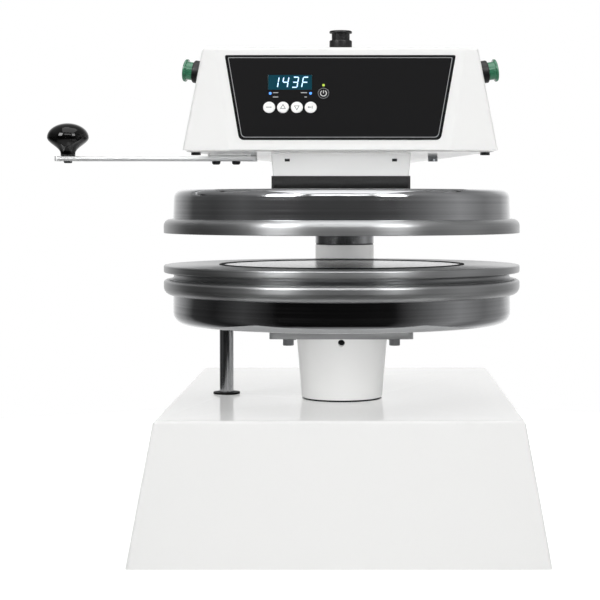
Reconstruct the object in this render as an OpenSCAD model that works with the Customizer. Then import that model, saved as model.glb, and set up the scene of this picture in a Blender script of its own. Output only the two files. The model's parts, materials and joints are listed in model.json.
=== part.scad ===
// Dough press with a swinging heated head and an air-lifted lower platen.
// Millimetres. Origin on the press axis at bench level, +X to the right of
// the person in front, +Y to the rear, +Z up.

/* [Base] */
// Width of the flat top of the base
base_top_w = 445; // [420:1:520]
// Distance from the press axis to the front edge of the base top
base_front = 242; // [235:1:300]
// Distance from the press axis to the rear wall of the base
base_rear = 410; // [400:1:480]
// Height of the base
base_h = 172; // [150:1:220]
// Spread of the front and the sides from the top of the base to the bench
base_flare = 29.5; // [10:0.5:45]
// Sheet thickness of the base
base_sheet = 2; // [1.5:0.1:3]
// Outer radius of the folds in the base sheet
base_fold_r = 4; // [3.5:0.5:8]
// Thickness of the floor plate of the base
base_floor_t = 5; // [4:0.5:8]
// Width of the inner ledge that the base floor is screwed to
base_ledge_w = 24; // [18:1:40]

/* [Column] */
// Distance from the press axis back to the column axis
column_y = 292; // [288:1:302]
// Outer diameter of the column
column_d = 88; // [86:1:94]
// Wall of the painted column tube
column_wall = 10; // [6:0.5:12]
// Height of the swivel joint above the lower platen
joint_rise = 19; // [10:1:30]
// Diameter of the swing shaft
shaft_d = 60; // [50:1:64]
// Bore of the hollow swing shaft
shaft_bore = 36; // [24:1:42]
// Length of each swing bush
bush_len = 45; // [30:1:60]
// Thickness of the bronze washer in the swivel joint
thrust_t = 2; // [1.5:0.5:4]
// Diameter of the column foot
foot_d = 160; // [150:1:178]
// Thickness of the column foot
foot_t = 12; // [8:1:20]

/* [Lift] */
// Travel of the lower platen
lift_stroke = 40; // [30:1:48]
// Thinnest dough left between the platens
dough_min = 1; // [1:0.5:6]
// Bore of the air cylinder
cylinder_bore = 125; // [100:1:130]
// Wall of the cylinder barrel
barrel_wall = 4; // [3:0.5:6]
// Thickness of each cylinder cap
cap_t = 17; // [14:1:20]
// Thickness of the piston
piston_t = 20; // [16:1:24]
// Diameter of the piston rod
rod_d = 36; // [30:1:45]
// Height of the lift hub above the base top
hub_rise = 83.2; // [70:0.2:110]
// Diameter of the lift hub under the platen bracket
hub_top_d = 121; // [112:1:130]
// Diameter of the lift hub at its foot, just above the base top
hub_foot_d = 107; // [102:1:118]
// Wall of the lift hub
hub_wall = 5; // [4:0.5:8]
// Gap round the lift hub in the base top
hub_gap = 2.5; // [1.5:0.5:5]
// Guide rod distance left of the press axis
guide_x = 158; // [140:1:170]
// Guide rod distance behind the press axis
guide_y = 48; // [36:1:80]
// Diameter of the guide rod
guide_d = 19; // [14:1:22]
// Length of the guide rod below the base top
guide_drop = 110; // [90:1:120]

/* [Platens] */
// Diameter over the platen rims
rim_d = 472; // [460:1:484]
// Diameter of the platen bodies
body_d = 447.2; // [420:0.2:460]
// Thickness of the lower platen's flange
flange_t = 9.9; // [7:0.1:12]
// Height of the groove under the flange
groove_h = 9.3; // [7:0.1:12]
// Radius at the foot of the groove
groove_foot_r = 4.5; // [2:0.5:5]
// Height of the rolled bead on the lower pan
bead_h = 19.8; // [17:0.1:26]
// Height of the lower pan below its bead
pan_depth = 37.8; // [30:0.1:50]
// Radius of the lower pan's bottom corner
pan_corner_r = 15; // [8:1:20]
// Sheet thickness of the lower pan's floor
pan_floor_t = 4; // [3:0.5:6]
// Outer diameter of the raised ring on the lower platen
ring_d = 326; // [280:1:360]
// Width of the raised ring
ring_w = 6; // [4:0.5:10]
// Height of the raised ring
ring_h = 1; // [0.5:0.5:3]
// Thickness of the heated upper plate
upper_t = 18.6; // [14:0.2:24]
// Radius of the upper plate's top edge
upper_edge_r = 9; // [4:1:12]
// Height of the upper platen cover
cover_h = 38.4; // [30:0.2:50]
// Radius of the upper platen cover's shoulder
cover_corner_r = 11; // [8:1:16]
// How far the upper platen cover's wall leans in
cover_draft = 1.5; // [0:0.1:4]
// Sheet thickness of the upper platen cover
cover_sheet = 2; // [1.5:0.5:3]

/* [Bracket and neck] */
// Width of the platen bracket
bracket_w = 187; // [180:1:210]
// Depth of the platen bracket
bracket_d = 130; // [126:1:150]
// Thickness of the platen bracket
bracket_t = 18.4; // [16:0.2:26]
// Spacing of the bracket bolts across the press
bracket_bolt_dx = 139; // [130:1:150]
// Spacing of the bracket bolts front to rear
bracket_bolt_dy = 90; // [84:1:100]
// Width of the insulator block
insulator_w = 177.6; // [175:0.2:200]
// Depth of the insulator block
insulator_d = 188; // [180:1:200]
// Thickness of the insulator block
insulator_t = 17; // [12:1:25]
// Width of the neck housing at its lower end
neck_w = 173.6; // [164:0.2:175]
// Depth of the neck housing at its lower end
neck_d = 184; // [176:1:188]
// Height of the neck housing
neck_h = 29; // [24:0.5:40]
// Spread of the neck housing towards its upper end
neck_flare = 2.4; // [0:0.1:4]
// Side of the square pattern of platen studs
stud_pitch = 104; // [90:1:110]
// Diameter of the platen studs
stud_d = 10; // [8:1:12]

/* [Head] */
// Distance from the press axis to the front edge of the head
head_front = 175; // [165:1:200]
// Width of the head's front face along its lower edge
head_front_w = 272; // [256:1:284]
// How far each corner panel cuts into the upper edge of the front face
head_corner_cut = 16; // [10:0.5:24]
// Width of the head across its front corners
head_corner_w = 392; // [378:1:406]
// How far the front corners sit behind the front edge
head_corner_back = 15; // [12:1:24]
// Distance from the press axis to the rear edge of the head
head_rear = 400; // [380:1:430]
// Width of the head along its rear edge
head_rear_w = 220; // [206:1:250]
// Height of the head
head_h = 129; // [122:0.5:145]
// How far the front face leans back
front_lean = 33; // [26:1:40]
// How far the sides lean in
side_lean = 19.6; // [14:0.2:24]
// How far the rear face leans in
rear_lean = 12; // [2:0.5:20]
// Sheet thickness of the head cover
head_sheet = 1.5; // [1.2:0.1:2.5]
// Outer radius of the folds in the head cover
head_fold_r = 5; // [3:0.5:8]
// Thickness of the head floor
head_floor_t = 2; // [1.5:0.5:4]
// Width of the inner ledge that the head floor is screwed to
head_ledge_w = 20; // [18:1:30]
// How far the head floor stays inside the outline of the cover
head_floor_inset = 4; // [2:0.5:6]

/* [Controls] */
// Lower edge of the control panel above the head's lower edge, along the face
panel_v0 = 12.3; // [8:0.1:18]
// Margin above the control panel, along the face
panel_top_gap = 11.1; // [8:0.1:16]
// Side margin at the lower edge of the control panel
panel_low_margin = 14; // [9:0.1:20]
// Side margin at the upper edge of the control panel
panel_top_margin = 11.8; // [8:0.1:18]
// Thickness of the control panel
panel_t = 1; // [0.6:0.1:2]
// Diameter of the round keys
key_d = 14.4; // [12:0.1:14.6]
// Spacing of the round keys
key_pitch = 17.1; // [16.8:0.1:19]
// Travel of a key
key_travel = 0.6; // [0.3:0.1:1]
// Width of the display window
display_w = 54; // [45:0.5:64]
// Height of the display window
display_h = 18.9; // [14:0.1:21]
// Diameter of the push-button bezels
bezel_d = 28.6; // [27.6:0.2:32]
// Height of a push-button bezel
bezel_h = 11.5; // [9:0.5:16]
// Diameter of the push-button plungers
plunger_d = 22.8; // [20:0.2:23.5]
// Thickness of the push-button caps
button_cap_t = 3.2; // [2.5:0.1:6]
// Travel of a push button
button_travel = 5; // [3:0.5:7]

/* [Handle] */
// Distance of the handle bar behind the press axis
handle_y = -50; // [-64:1:-30]
// Reach of the handle bar to the left of the press axis
handle_reach = 372; // [355:1:384]
// Gap between the neck housing and the handle bar's inner end
handle_neck_gap = 20.8; // [14:0.2:24]
// Width of the handle bar
handle_w = 25; // [20:1:32]
// Thickness of the handle bar
handle_t = 6; // [5:0.5:9]
// Thickness of the spacer between the handle bar and the head
handle_spacer_t = 3; // [2:0.5:5]
// Largest diameter of the knob
knob_d = 54; // [40:1:60]
// Height of the knob
knob_h = 43.5; // [36:0.5:50]

/* [Fits] */
// Radial clearance of a shaft that runs in a bush
run_fit = 0.05; // [0.02:0.01:0.08]
// Radial clearance of a fixed pin or stud in its hole
seat_fit = 0.05; // [0.02:0.01:0.1]
// Gap between faces that move past each other
slide_gap = 0.3; // [0.2:0.05:0.5]

/* [Hidden] */
$fn = 96;

// Colours
white_paint = "#f1f1ef";
bright_steel = "#c8cacc";
grey_steel = "#8b8c8e";
dark_steel = "#4a4b4d";
polished = "#aeb0b3";
bronze = "#a9793f";
black_plastic = "#161617";
green_plastic = "#1f7a55";

// Heights of the stack, from the bench up
bracket_z = base_h + hub_rise;
pan_z = bracket_z + bracket_t;
bead_z = pan_z + pan_depth;
bead_top_z = bead_z + bead_h;
flange_z = bead_top_z + groove_h;
lower_z = flange_z + flange_t;
platen_gap = lift_stroke + dough_min + ring_h;
upper_z = lower_z + platen_gap;
cover_z = upper_z + upper_t;
insulator_z = cover_z + cover_h;
neck_z = insulator_z + insulator_t;
floor_z = neck_z + neck_h;
head_z = floor_z + head_floor_t;
head_top_z = head_z + head_h;
arm_z = head_z;

// Radii of the platens
rim_r = rim_d / 2;
body_r = body_d / 2;
bead_top_r = 4;
bead_low_r = 0.85 * (rim_r - body_r);
groove_r = body_r - 1;
groove_lip_t = 1;
groove_lip_r = groove_r + groove_foot_r + groove_lip_t;
flange_edge_r = 2;
pan_wall = 6;
boss_r = 12;
tapped_depth = 20;

// Housings: sheet ledges and screws
base_ledge_t = 3;
head_ledge_t = 1.5;
base_plan = [
    [-base_top_w / 2 - base_flare, -base_front - base_flare],
    [base_top_w / 2 + base_flare, -base_front - base_flare],
    [base_top_w / 2 + base_flare, base_rear],
    [-base_top_w / 2 - base_flare, base_rear]
];
base_leans = [base_flare, base_flare, 0, base_flare];
head_plan = [
    [-head_front_w / 2, -head_front],
    [head_front_w / 2, -head_front],
    [head_corner_w / 2, -head_front + head_corner_back],
    [head_rear_w / 2, head_rear],
    [-head_rear_w / 2, head_rear],
    [-head_corner_w / 2, -head_front + head_corner_back]
];
side_normal = edge_normal(head_plan, 2);
front_top_x = (side_normal * head_plan[2] - side_lean - side_normal.y * (front_lean - head_front))
    / side_normal.x - head_corner_cut;
corner_lean = -edge_normal(head_plan, 1) * [front_top_x - head_front_w / 2, front_lean];
head_leans = [front_lean, corner_lean, side_lean, rear_lean, side_lean, corner_lean];
screw_d = 6;
screw_head_d = 12;
screw_inset = base_sheet + base_ledge_w / 2;
head_bolt_d = 6;
head_bolt_head_d = 12;
head_bolt_head_h = 3.5;
head_bolt_inset = 10;
head_bolt_along = 0.04;
arm_bolt_d = 8;
arm_bolt_head_d = 13;
arm_bolt_head_h = 7;
arm_bolt_grip = 10;
arm_bolt_y = 46;
arm_cross_d = 32;
arm_clear = 1.5;
arm_bolt_dx = 2 * (head_half(arm_bolt_y + arm_cross_d / 2) - head_sheet - head_ledge_w
    - arm_cross_d / 2 - arm_clear);

// Column
column_r = column_d / 2;
shaft_r = shaft_d / 2;
tube_bore_r = column_r - column_wall;
column_top_z = lower_z + joint_rise;
tube_z = base_floor_t + foot_t;
shaft_foot_gap = 40;
shaft_z = tube_z + shaft_foot_gap;
shaft_rise = 100;
shaft_top_z = arm_z + shaft_rise;
retainer_t = 8;
retainer_plug = 15;
foot_collar_h = 30;
foot_collar_wall = 10;
foot_bolt_d = 12;
foot_bolt_head_h = 8;
foot_bolt_r = foot_d / 2 - 14;

// Air cylinder, piston and hub
cylinder_r = cylinder_bore / 2;
end_slack = 2;
barrel_z = base_floor_t + cap_t;
barrel_len = piston_t + lift_stroke + 2 * end_slack;
upper_cap_z = barrel_z + barrel_len;
cylinder_top_z = upper_cap_z + cap_t;
piston_z = barrel_z + end_slack;
rod_r = rod_d / 2;
rod_socket = 12;
cap_side = cylinder_bore + 2 * barrel_wall + 7;
tie_rod_d = 8;
tie_rod_at = cap_side / 2 - 12;
tie_nut_d = 15;
tie_nut_h = 8;
seal_w = 5;
seal_depth = 6;
hub_clear = 8;
hub_low_z = cylinder_top_z + hub_clear;
hub_lip = 2;
hub_foot_edge_r = 1;
hub_shank_inset = 3;
hub_top_r = hub_top_d / 2;
hub_shank_r = hub_foot_d / 2 - hub_shank_inset;
hub_head_t = 22;
set_screw_d = 9;
set_screw_len = 20;
set_screw_z = bracket_z - set_screw_d / 2 - 1;
bracket_r = 6;
bracket_bolt_d = 8;
bracket_bolt_head_d = 13.5;
bracket_bolt_head_h = 9.5;
bracket_bolt_hex_d = 6.8;
bracket_bolt_hex_depth = 5;
guide_r = guide_d / 2;
guide_flange_d = guide_d + 17;
guide_flange_t = 2.5;
guide_bush_wall = 4;
guide_bush_len = 46;
guide_stud_d = 12;
guide_nut_d = 22;
guide_nut_h = 9;

// Air and power inlets
valve_w = 36;
valve_d = 60;
valve_h = 50;
coil_w = 26;
coil_h = 34;
tube_run = 30;
air_tube_d = 8;
valve_x = -cap_side / 2 - tube_run - valve_w / 2;
cap_port_z = base_floor_t + cap_t / 2;
air_inlet_z = base_floor_t + valve_h / 2;
air_thread_d = 13;
air_hex_d = 20;
air_hex_h = 7;
nipple_len = 14;
nipple_d = 9;
barb_h = 3.5;
inlet_x = 110;
inlet_z = 70;
inlet_flange = [50, 28];
inlet_flange_t = 3;
inlet_body = [28, 22];
inlet_body_t = 24;
inlet_well = [24, 17];
inlet_well_depth = 16;
inlet_pin = [2, 4];
inlet_pin_dx = 7;

// Head structure
arm_w = 120;
arm_web_t = 14;
arm_flange_t = 15;
arm_boss_wall = 28;
arm_nose = 84;
arm_web_low = 30;
arm_web_high = 85;
hanger_margin = 22;
hanger_side = stud_pitch + 2 * hanger_margin;
neck_sheet = 1.5;
neck_plan = [
    [-neck_w / 2, -neck_d / 2], [neck_w / 2, -neck_d / 2],
    [neck_w / 2, neck_d / 2], [-neck_w / 2, neck_d / 2]
];
neck_leans = [-neck_flare, -neck_flare, -neck_flare, -neck_flare];
neck_fold_r = 2;
neck_slot = [6.5, 3.6];
neck_slot_dx = 137;
neck_slot_drop = 8.7;
stud_r = stud_d / 2;
stud_nut_d = 18;
stud_nut_h = 8;
heater_r = 150;
heater_d = 9;
heater_sweep = 330;
heater_pin_h = 20;
probe_d = 6;
probe_h = 22;
probe_hex_d = 13;
probe_hex_h = 6;
probe_at = 90;

// Control panel, in the frame of the leaning front face: u right, v up the face
face_angle = atan2(head_h, front_lean);
face_len = norm([head_h, front_lean]);
panel_h = face_len - panel_v0 - panel_top_gap;
panel_low_w = 2 * (face_half(panel_v0) - panel_low_margin);
panel_top_w = 2 * (face_half(panel_v0 + panel_h) - panel_top_margin);
panel_low_corner_r = 7;
panel_top_corner_r = 2;
key_row_v = 54.1;
key_first_u = -87.6;
key_gap = 0.35;
key_proud = 0.6;
key_flange = 0.9;
key_flange_t = 1;
key_stem_d = 6;
key_stem_len = 5;
key_edge_r = 0.5;
power_u = -20.6;
power_v = 72.1;
display_u = -62.1;
display_v = 86.5;
display_proud = 0.2;
display_depth = 8;
lamp_d = 3;
lamp_len = 9;
lamp_at = [[-86.5, 72.3], [-36.6, 72.3], [-20.6, 82.9]];
board_depth = 12;
board_t = 1.6;
board_w = 150;
board_h = 70;
board_u = -50;
board_v = 72;
board_pillar_d = 6;
board_pillar_dx = 136;
board_pillar_dv = 58;
switch_d = 5;
switch_gap = 0.3;

// Push buttons, along their own axis from the sheet outwards
palm_y = -115;
palm_drop = 30.2;
palm_rise = head_h - palm_drop;
top_button_y = -105;
bezel_edge_r = 1.5;
bezel_barrel_wall = 1.6;
bezel_barrel_len = 6;
bezel_nut_d = 33;
bezel_nut_t = 3.5;
plunger_flange = 1;
plunger_flange_t = 1.8;
plunger_neck_h = 8.8;
contact_side = 30;
contact_len = 26;
contact_slack = 1;
contact_collar_len = bezel_barrel_len + slide_gap + plunger_flange_t + button_travel
    + contact_slack - head_sheet - bezel_nut_t;

// Handle
handle_bolt_d = 6;
handle_bolt_head_d = 11;
handle_bolt_head_h = 4.6;
handle_bolt_pitch = 26;
handle_bolt_from_root = 27;
handle_spacer_len = 54;
handle_spacer_back = 9;
knob_from_end = 16;
knob_neck_d = 19;
knob_widest = 0.57;
knob_bolt_head_d = 11;
knob_bolt_head_h = 2.6;
handle_z = floor_z - handle_spacer_t - handle_t;
handle_root = neck_w / 2 + neck_flare + handle_neck_gap;
handle_len = handle_reach - handle_root;

slice_t = 0.01;
fold_steps = 3;
overcut = 1;

// Unit vector along v
function unit(v) = v / norm(v);

// Points that round the corner at p, between its neighbours a and b
function corner_arc(a, p, b, r, n) =
    r <= 0 ? [p] :
    let (
        u = unit(a - p),
        v = unit(b - p),
        half = acos(u * v) / 2,
        c = p + unit(u + v) * r / sin(half),
        s = p + u * r / tan(half) - c,
        start = atan2(s.y, s.x),
        turn = (180 - 2 * half) * sign(cross(p - a, b - p))
    )
    [for (i = [0:n]) c + r * [cos(start + turn * i / n), sin(start + turn * i / n)]];

// Outline with each corner i rounded to radii[i]
function rounded(pts, radii, n) =
    let (count = len(pts))
    [for (i = [0:count - 1])
        each corner_arc(pts[(i + count - 1) % count], pts[i], pts[(i + 1) % count], radii[i], n)];

// The same radius for every corner of an outline
function all_corners(pts, r) = [for (p = pts) r];

// Outward normal of the edge that leaves corner i of an outline
function edge_normal(pts, i) =
    let (d = unit(pts[(i + 1) % len(pts)] - pts[i]))
    [d.y, -d.x];

// Half the width of the head's lower outline at a distance behind the press axis
function head_half(y) =
    (head_corner_w + (head_rear_w - head_corner_w) * (y + head_front - head_corner_back)
        / (head_rear + head_front - head_corner_back)) / 2;

// Half the width of the head's front face at a height along it
function face_half(v) = head_front_w / 2 + (front_top_x - head_front_w / 2) * v / face_len;

// Point where two lines meet, each given by its normal and its distance
function line_meet(n1, c1, n2, c2) =
    let (det = cross(n1, n2))
    [(c1 * n2.y - c2 * n1.y) / det, (n1.x * c2 - n2.x * c1) / det];

// Outline with every edge i moved inwards by insets[i]
function inset_outline(pts, insets) =
    let (
        count = len(pts),
        normals = [for (i = [0:count - 1]) edge_normal(pts, i)],
        reach = [for (i = [0:count - 1]) normals[i] * pts[i] - insets[i]]
    )
    [for (i = [0:count - 1])
        let (j = (i + count - 1) % count)
        line_meet(normals[j], reach[j], normals[i], reach[i])];

// Outline of a leaning-walled housing at height z, inside walls of a given thickness
function section(plan, leans, h, z, wall) =
    inset_outline(plan, [for (lean = leans) lean * z / h + wall * norm([1, lean / h])]);

// One thin slice of a leaning-walled form
module slice(plan, leans, h, z, wall, r) {
    outline = section(plan, leans, h, z + slice_t, wall);
    translate([0, 0, z])
        linear_extrude(slice_t)
            polygon(rounded(outline, all_corners(outline, r), fold_steps));
}

// Leaning-walled form from z0 to z1 with rounded upright and upper edges
module folded_form(plan, leans, h, z0, z1, wall, fold_r) {
    hull() {
        slice(plan, leans, h, z0, wall, fold_r);
        for (i = [0:fold_steps]) {
            turn = 90 * i / fold_steps;
            draw_in = fold_r * (1 - cos(turn));
            slice(plan, leans, h, z1 - fold_r * (1 - sin(turn)) - slice_t, wall + draw_in,
                max(fold_r - draw_in, slice_t));
        }
    }
}

// Folded sheet housing, open below, with a ledge that a floor plate is screwed up against
module folded_housing(plan, leans, h, sheet, fold_r, floor_t, ledge_t, ledge_w) {
    difference() {
        folded_form(plan, leans, h, 0, h, 0, fold_r);
        folded_form(plan, leans, h, floor_t + ledge_t, h - sheet, sheet, fold_r - sheet);
        if (floor_t > 0)
            hull() {
                slice(plan, leans, h, -overcut, sheet, fold_r - sheet);
                slice(plan, leans, h, floor_t - slice_t, sheet, fold_r - sheet);
            }
        translate([0, 0, -overcut])
            linear_extrude(floor_t + ledge_t + 2 * overcut)
                polygon(section(plan, leans, h, floor_t, sheet + ledge_w));
    }
}

// Flat plate with the outline of a housing at height z, inset by wall
module section_plate(plan, leans, h, z, wall, r, t) {
    outline = section(plan, leans, h, z, wall);
    linear_extrude(t)
        polygon(rounded(outline, all_corners(outline, r), fold_steps));
}

// Rectangular plate with round corners, centred, from z = 0 up
module round_plate(w, d, r, h) {
    linear_extrude(h) {
        square([w - 2 * r, d], center = true);
        square([w, d - 2 * r], center = true);
        for (x = [-1, 1], y = [-1, 1])
            translate([x * (w / 2 - r), y * (d / 2 - r)])
                circle(r);
    }
}

// Tube along z from z0 up
module tube(r_out, r_in, z0, h) {
    translate([0, 0, z0])
        linear_extrude(h)
            difference() {
                circle(r_out);
                circle(r_in);
            }
}

// Plain round bar along z from z0 up
module bar(r, z0, h) {
    translate([0, 0, z0]) cylinder(r = r, h = h);
}

// Hexagon along z from z0 up, d across its corners
module hexagon(d, z0, h) {
    translate([0, 0, z0]) cylinder(d = d, h = h, $fn = 6);
}

// Children at the corners of a rectangle
module at_corners(dx, dy) {
    for (x = [-dx / 2, dx / 2], y = [-dy / 2, dy / 2])
        translate([x, y, 0]) children();
}

// Children at the base screw positions
module at_base_screws() {
    inner = section(base_plan, base_leans, base_h, base_floor_t, screw_inset);
    mid_y = (inner[0].y + inner[2].y) / 2;
    side_y = [inner[0].y + screw_inset * 3, mid_y, inner[2].y - screw_inset * 3];
    for (side = [0, 1], y = side_y)
        translate([inner[side].x, y, 0]) children();
    for (corner = [0, 2])
        translate([0, inner[corner].y, 0]) children();
}

// Children at the bolts along the rim of the head floor
module at_head_bolts() {
    inner = section(head_plan, head_leans, head_h, 0, head_bolt_inset);
    for (side = [0, 1])
        mirror([side, 0, 0]) {
            translate(inner[2] + (inner[3] - inner[2]) * head_bolt_along) children();
            translate([inner[3].x / 2, inner[3].y]) children();
        }
}

// Children at the bolts that hold the head floor up against the arm
module at_arm_bolts() {
    for (x = [-arm_bolt_dx / 2, arm_bolt_dx / 2])
        translate([x, arm_bolt_y, 0]) children();
}

// Children on the leaning front face of the head: x right, y up the face, z out
module on_face() {
    translate([0, -head_front, head_z]) rotate([face_angle, 0, 0]) children();
}

// Outward direction of the head's right side in plan, and its tilt upwards
side_out = edge_normal(head_plan, 2);
side_turn = atan2(side_out.y, side_out.x);
side_tilt = atan(side_lean / head_h);
side_reach = side_out * head_plan[2] - side_lean * palm_rise / head_h;
palm_x = (side_reach - side_out.y * palm_y) / side_out.x;

// Children on the head's right side, with z along the palm button's axis
module on_right_side() {
    translate([palm_x, palm_y, head_z + palm_rise])
        rotate([0, 90 - side_tilt, side_turn])
            children();
}

// Children on the head's left side
module on_left_side() {
    mirror([1, 0, 0]) on_right_side() children();
}

// Children on top of the head, with z along the top button's axis
module on_head_top() {
    translate([0, top_button_y, head_top_z]) children();
}

// Children at each of the three push buttons
module at_buttons() {
    on_right_side() children();
    on_left_side() children();
    on_head_top() children();
}

// Children at key i of the row
module at_key(i) {
    on_face() translate([key_first_u + i * key_pitch, key_row_v, 0]) children();
}

// Children at the power key
module at_power_key() {
    on_face() translate([power_u, power_v, 0]) children();
}

// Holes through the front face for keys, lamps and display
module face_openings(depth, key_clear, flat_clear) {
    for (i = [0:3])
        translate([key_first_u + i * key_pitch, key_row_v, -depth])
            cylinder(d = key_d + 2 * key_clear, h = 2 * depth);
    translate([power_u, power_v, -depth])
        cylinder(d = key_d + 2 * key_clear, h = 2 * depth);
    for (p = lamp_at)
        translate([p.x, p.y, -depth])
            cylinder(d = lamp_d + 2 * flat_clear, h = 2 * depth);
    translate([display_u, display_v, 0])
        cube([display_w + 2 * flat_clear, display_h + 2 * flat_clear, 2 * depth], center = true);
}

// Base

module base_housing() color(white_paint)
    difference() {
        folded_housing(base_plan, base_leans, base_h, base_sheet, base_fold_r,
            base_floor_t, base_ledge_t, base_ledge_w);
        bar(hub_shank_r + hub_gap, base_h - 2 * base_sheet, 4 * base_sheet);
        translate([-guide_x, guide_y, 0])
            bar(guide_r + guide_bush_wall + seat_fit, base_h - 2 * base_sheet, 4 * base_sheet);
        translate([0, column_y, 0])
            bar(column_r + slide_gap, base_h - 2 * base_sheet, 4 * base_sheet);
        at_base_screws() bar(screw_d / 2 + seat_fit, base_floor_t - overcut, base_ledge_t + 2 * overcut);
        translate([valve_x, base_rear + overcut, air_inlet_z])
            rotate([90, 0, 0]) cylinder(d = air_thread_d + 2 * seat_fit, h = base_sheet + 2 * overcut);
        translate([inlet_x, base_rear, inlet_z])
            cube([inlet_body.x + slide_gap, 4 * base_sheet, inlet_body.y + slide_gap], center = true);
    }

module base_floor() color(dark_steel)
    difference() {
        section_plate(base_plan, base_leans, base_h, base_floor_t, base_sheet + slide_gap,
            base_fold_r, base_floor_t);
        at_base_screws() screw_hole();
        translate([0, column_y, 0])
            foot_bolt_pattern() bar(foot_bolt_d / 2 + seat_fit, -overcut, base_floor_t + 2 * overcut);
    }

// Countersunk hole for one base screw
module screw_hole() {
    bar(screw_d / 2 + seat_fit, -overcut, base_floor_t + 2 * overcut);
    cylinder(r1 = screw_head_d / 2 + seat_fit, r2 = screw_d / 2 + seat_fit,
        h = (screw_head_d - screw_d) / 2);
}

module base_screws() color(bright_steel)
    at_base_screws() {
        bar(screw_d / 2, 0, base_floor_t + base_ledge_t);
        cylinder(d1 = screw_head_d, d2 = screw_d, h = (screw_head_d - screw_d) / 2);
    }

// Children at the bolts of the column foot
module foot_bolt_pattern() {
    for (turn = [45:90:315])
        rotate(turn) translate([foot_bolt_r, 0, 0]) children();
}

module column_foot() color(dark_steel)
    translate([0, column_y, 0])
        difference() {
            union() {
                bar(foot_d / 2, base_floor_t, foot_t);
                bar(column_r + foot_collar_wall, tube_z, foot_collar_h);
            }
            bar(column_r + seat_fit, tube_z, foot_collar_h + overcut);
            foot_bolt_pattern() bar(foot_bolt_d / 2 + seat_fit, base_floor_t - overcut, foot_t + 2 * overcut);
        }

module column_bolts() color(bright_steel)
    translate([0, column_y, 0])
        foot_bolt_pattern() {
            bar(foot_bolt_d / 2, base_floor_t / 2, base_floor_t / 2 + foot_t);
            hexagon(foot_bolt_d * 1.75, tube_z, foot_bolt_head_h);
        }

module column_tube() color(white_paint)
    translate([0, column_y, 0])
        tube(column_r, tube_bore_r, tube_z, column_top_z - tube_z);

module swing_bushes() color(bronze)
    translate([0, column_y, 0]) {
        tube(tube_bore_r - seat_fit, shaft_r + run_fit, shaft_z + slide_gap, bush_len);
        tube(tube_bore_r - seat_fit, shaft_r + run_fit, column_top_z - bush_len, bush_len);
    }

module thrust_washer() color(dark_steel)
    translate([0, column_y, 0])
        tube(column_r - 1, shaft_r + slide_gap, column_top_z, thrust_t);

// Square cylinder cap with its tie rod holes
module cylinder_cap(z) {
    difference() {
        translate([0, 0, z]) round_plate(cap_side, cap_side, 10, cap_t);
        at_corners(2 * tie_rod_at, 2 * tie_rod_at)
            bar(tie_rod_d / 2 + seat_fit, z - overcut, cap_t + 2 * overcut);
    }
}

module cylinder_lower_cap() color(polished)
    difference() {
        cylinder_cap(base_floor_t);
        translate([-cap_side / 2 + air_tube_d, 0, cap_port_z])
            rotate([0, -90, 0]) cylinder(d = air_tube_d + 2 * seat_fit, h = 2 * air_tube_d);
    }

module cylinder_barrel() color(bright_steel)
    tube(cylinder_r + barrel_wall, cylinder_r, barrel_z, barrel_len);

module cylinder_upper_cap() color(polished)
    difference() {
        cylinder_cap(upper_cap_z);
        bar(rod_r + run_fit, upper_cap_z - overcut, cap_t + 2 * overcut);
    }

module cylinder_tie_rods() color(bright_steel)
    at_corners(2 * tie_rod_at, 2 * tie_rod_at) {
        bar(tie_rod_d / 2, base_floor_t, cylinder_top_z - base_floor_t + tie_nut_h);
        hexagon(tie_nut_d, cylinder_top_z, tie_nut_h);
    }

module guide_bush() color(black_plastic)
    translate([-guide_x, guide_y, 0])
        difference() {
            union() {
                bar(guide_flange_d / 2, base_h, guide_flange_t);
                bar(guide_r + guide_bush_wall, base_h - guide_bush_len, guide_bush_len);
            }
            bar(guide_r + run_fit, base_h - guide_bush_len - overcut,
                guide_bush_len + guide_flange_t + 2 * overcut);
        }

module air_valve() color(black_plastic)
    translate([valve_x, 0, base_floor_t])
        difference() {
            union() {
                round_plate(valve_w, valve_d, 3, valve_h - coil_h / 2);
                round_plate(coil_w, coil_w, 4, valve_h);
            }
            translate([valve_w / 2 - air_tube_d, 0, cap_port_z - base_floor_t])
                rotate([0, 90, 0]) cylinder(d = air_tube_d + 2 * seat_fit, h = 2 * air_tube_d);
            translate([0, valve_d / 2 - air_tube_d, air_inlet_z - base_floor_t])
                rotate([-90, 0, 0]) cylinder(d = air_tube_d + 2 * seat_fit, h = 2 * air_tube_d);
        }

module air_tubes() color(black_plastic) {
    translate([valve_x + valve_w / 2 - air_tube_d, 0, cap_port_z])
        rotate([0, 90, 0]) cylinder(d = air_tube_d, h = tube_run + 2 * air_tube_d);
    translate([valve_x, valve_d / 2 - air_tube_d, air_inlet_z])
        rotate([-90, 0, 0])
            cylinder(d = air_tube_d, h = base_rear - base_sheet - air_hex_h - valve_d / 2 + air_tube_d);
}

// Turned hose nipple with barbs, threaded through the rear wall
module air_inlet() color(bronze)
    translate([valve_x, base_rear, air_inlet_z])
        rotate([-90, 0, 0]) {
            hexagon(air_hex_d, 0, air_hex_h);
            bar(air_thread_d / 2, -base_sheet - air_hex_h, base_sheet + 2 * air_hex_h);
            bar(nipple_d / 2 - 1, air_hex_h, nipple_len);
            for (i = [0:2])
                translate([0, 0, air_hex_h + 2 + i * barb_h])
                    cylinder(d1 = nipple_d, d2 = nipple_d - 2, h = barb_h);
        }

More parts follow.
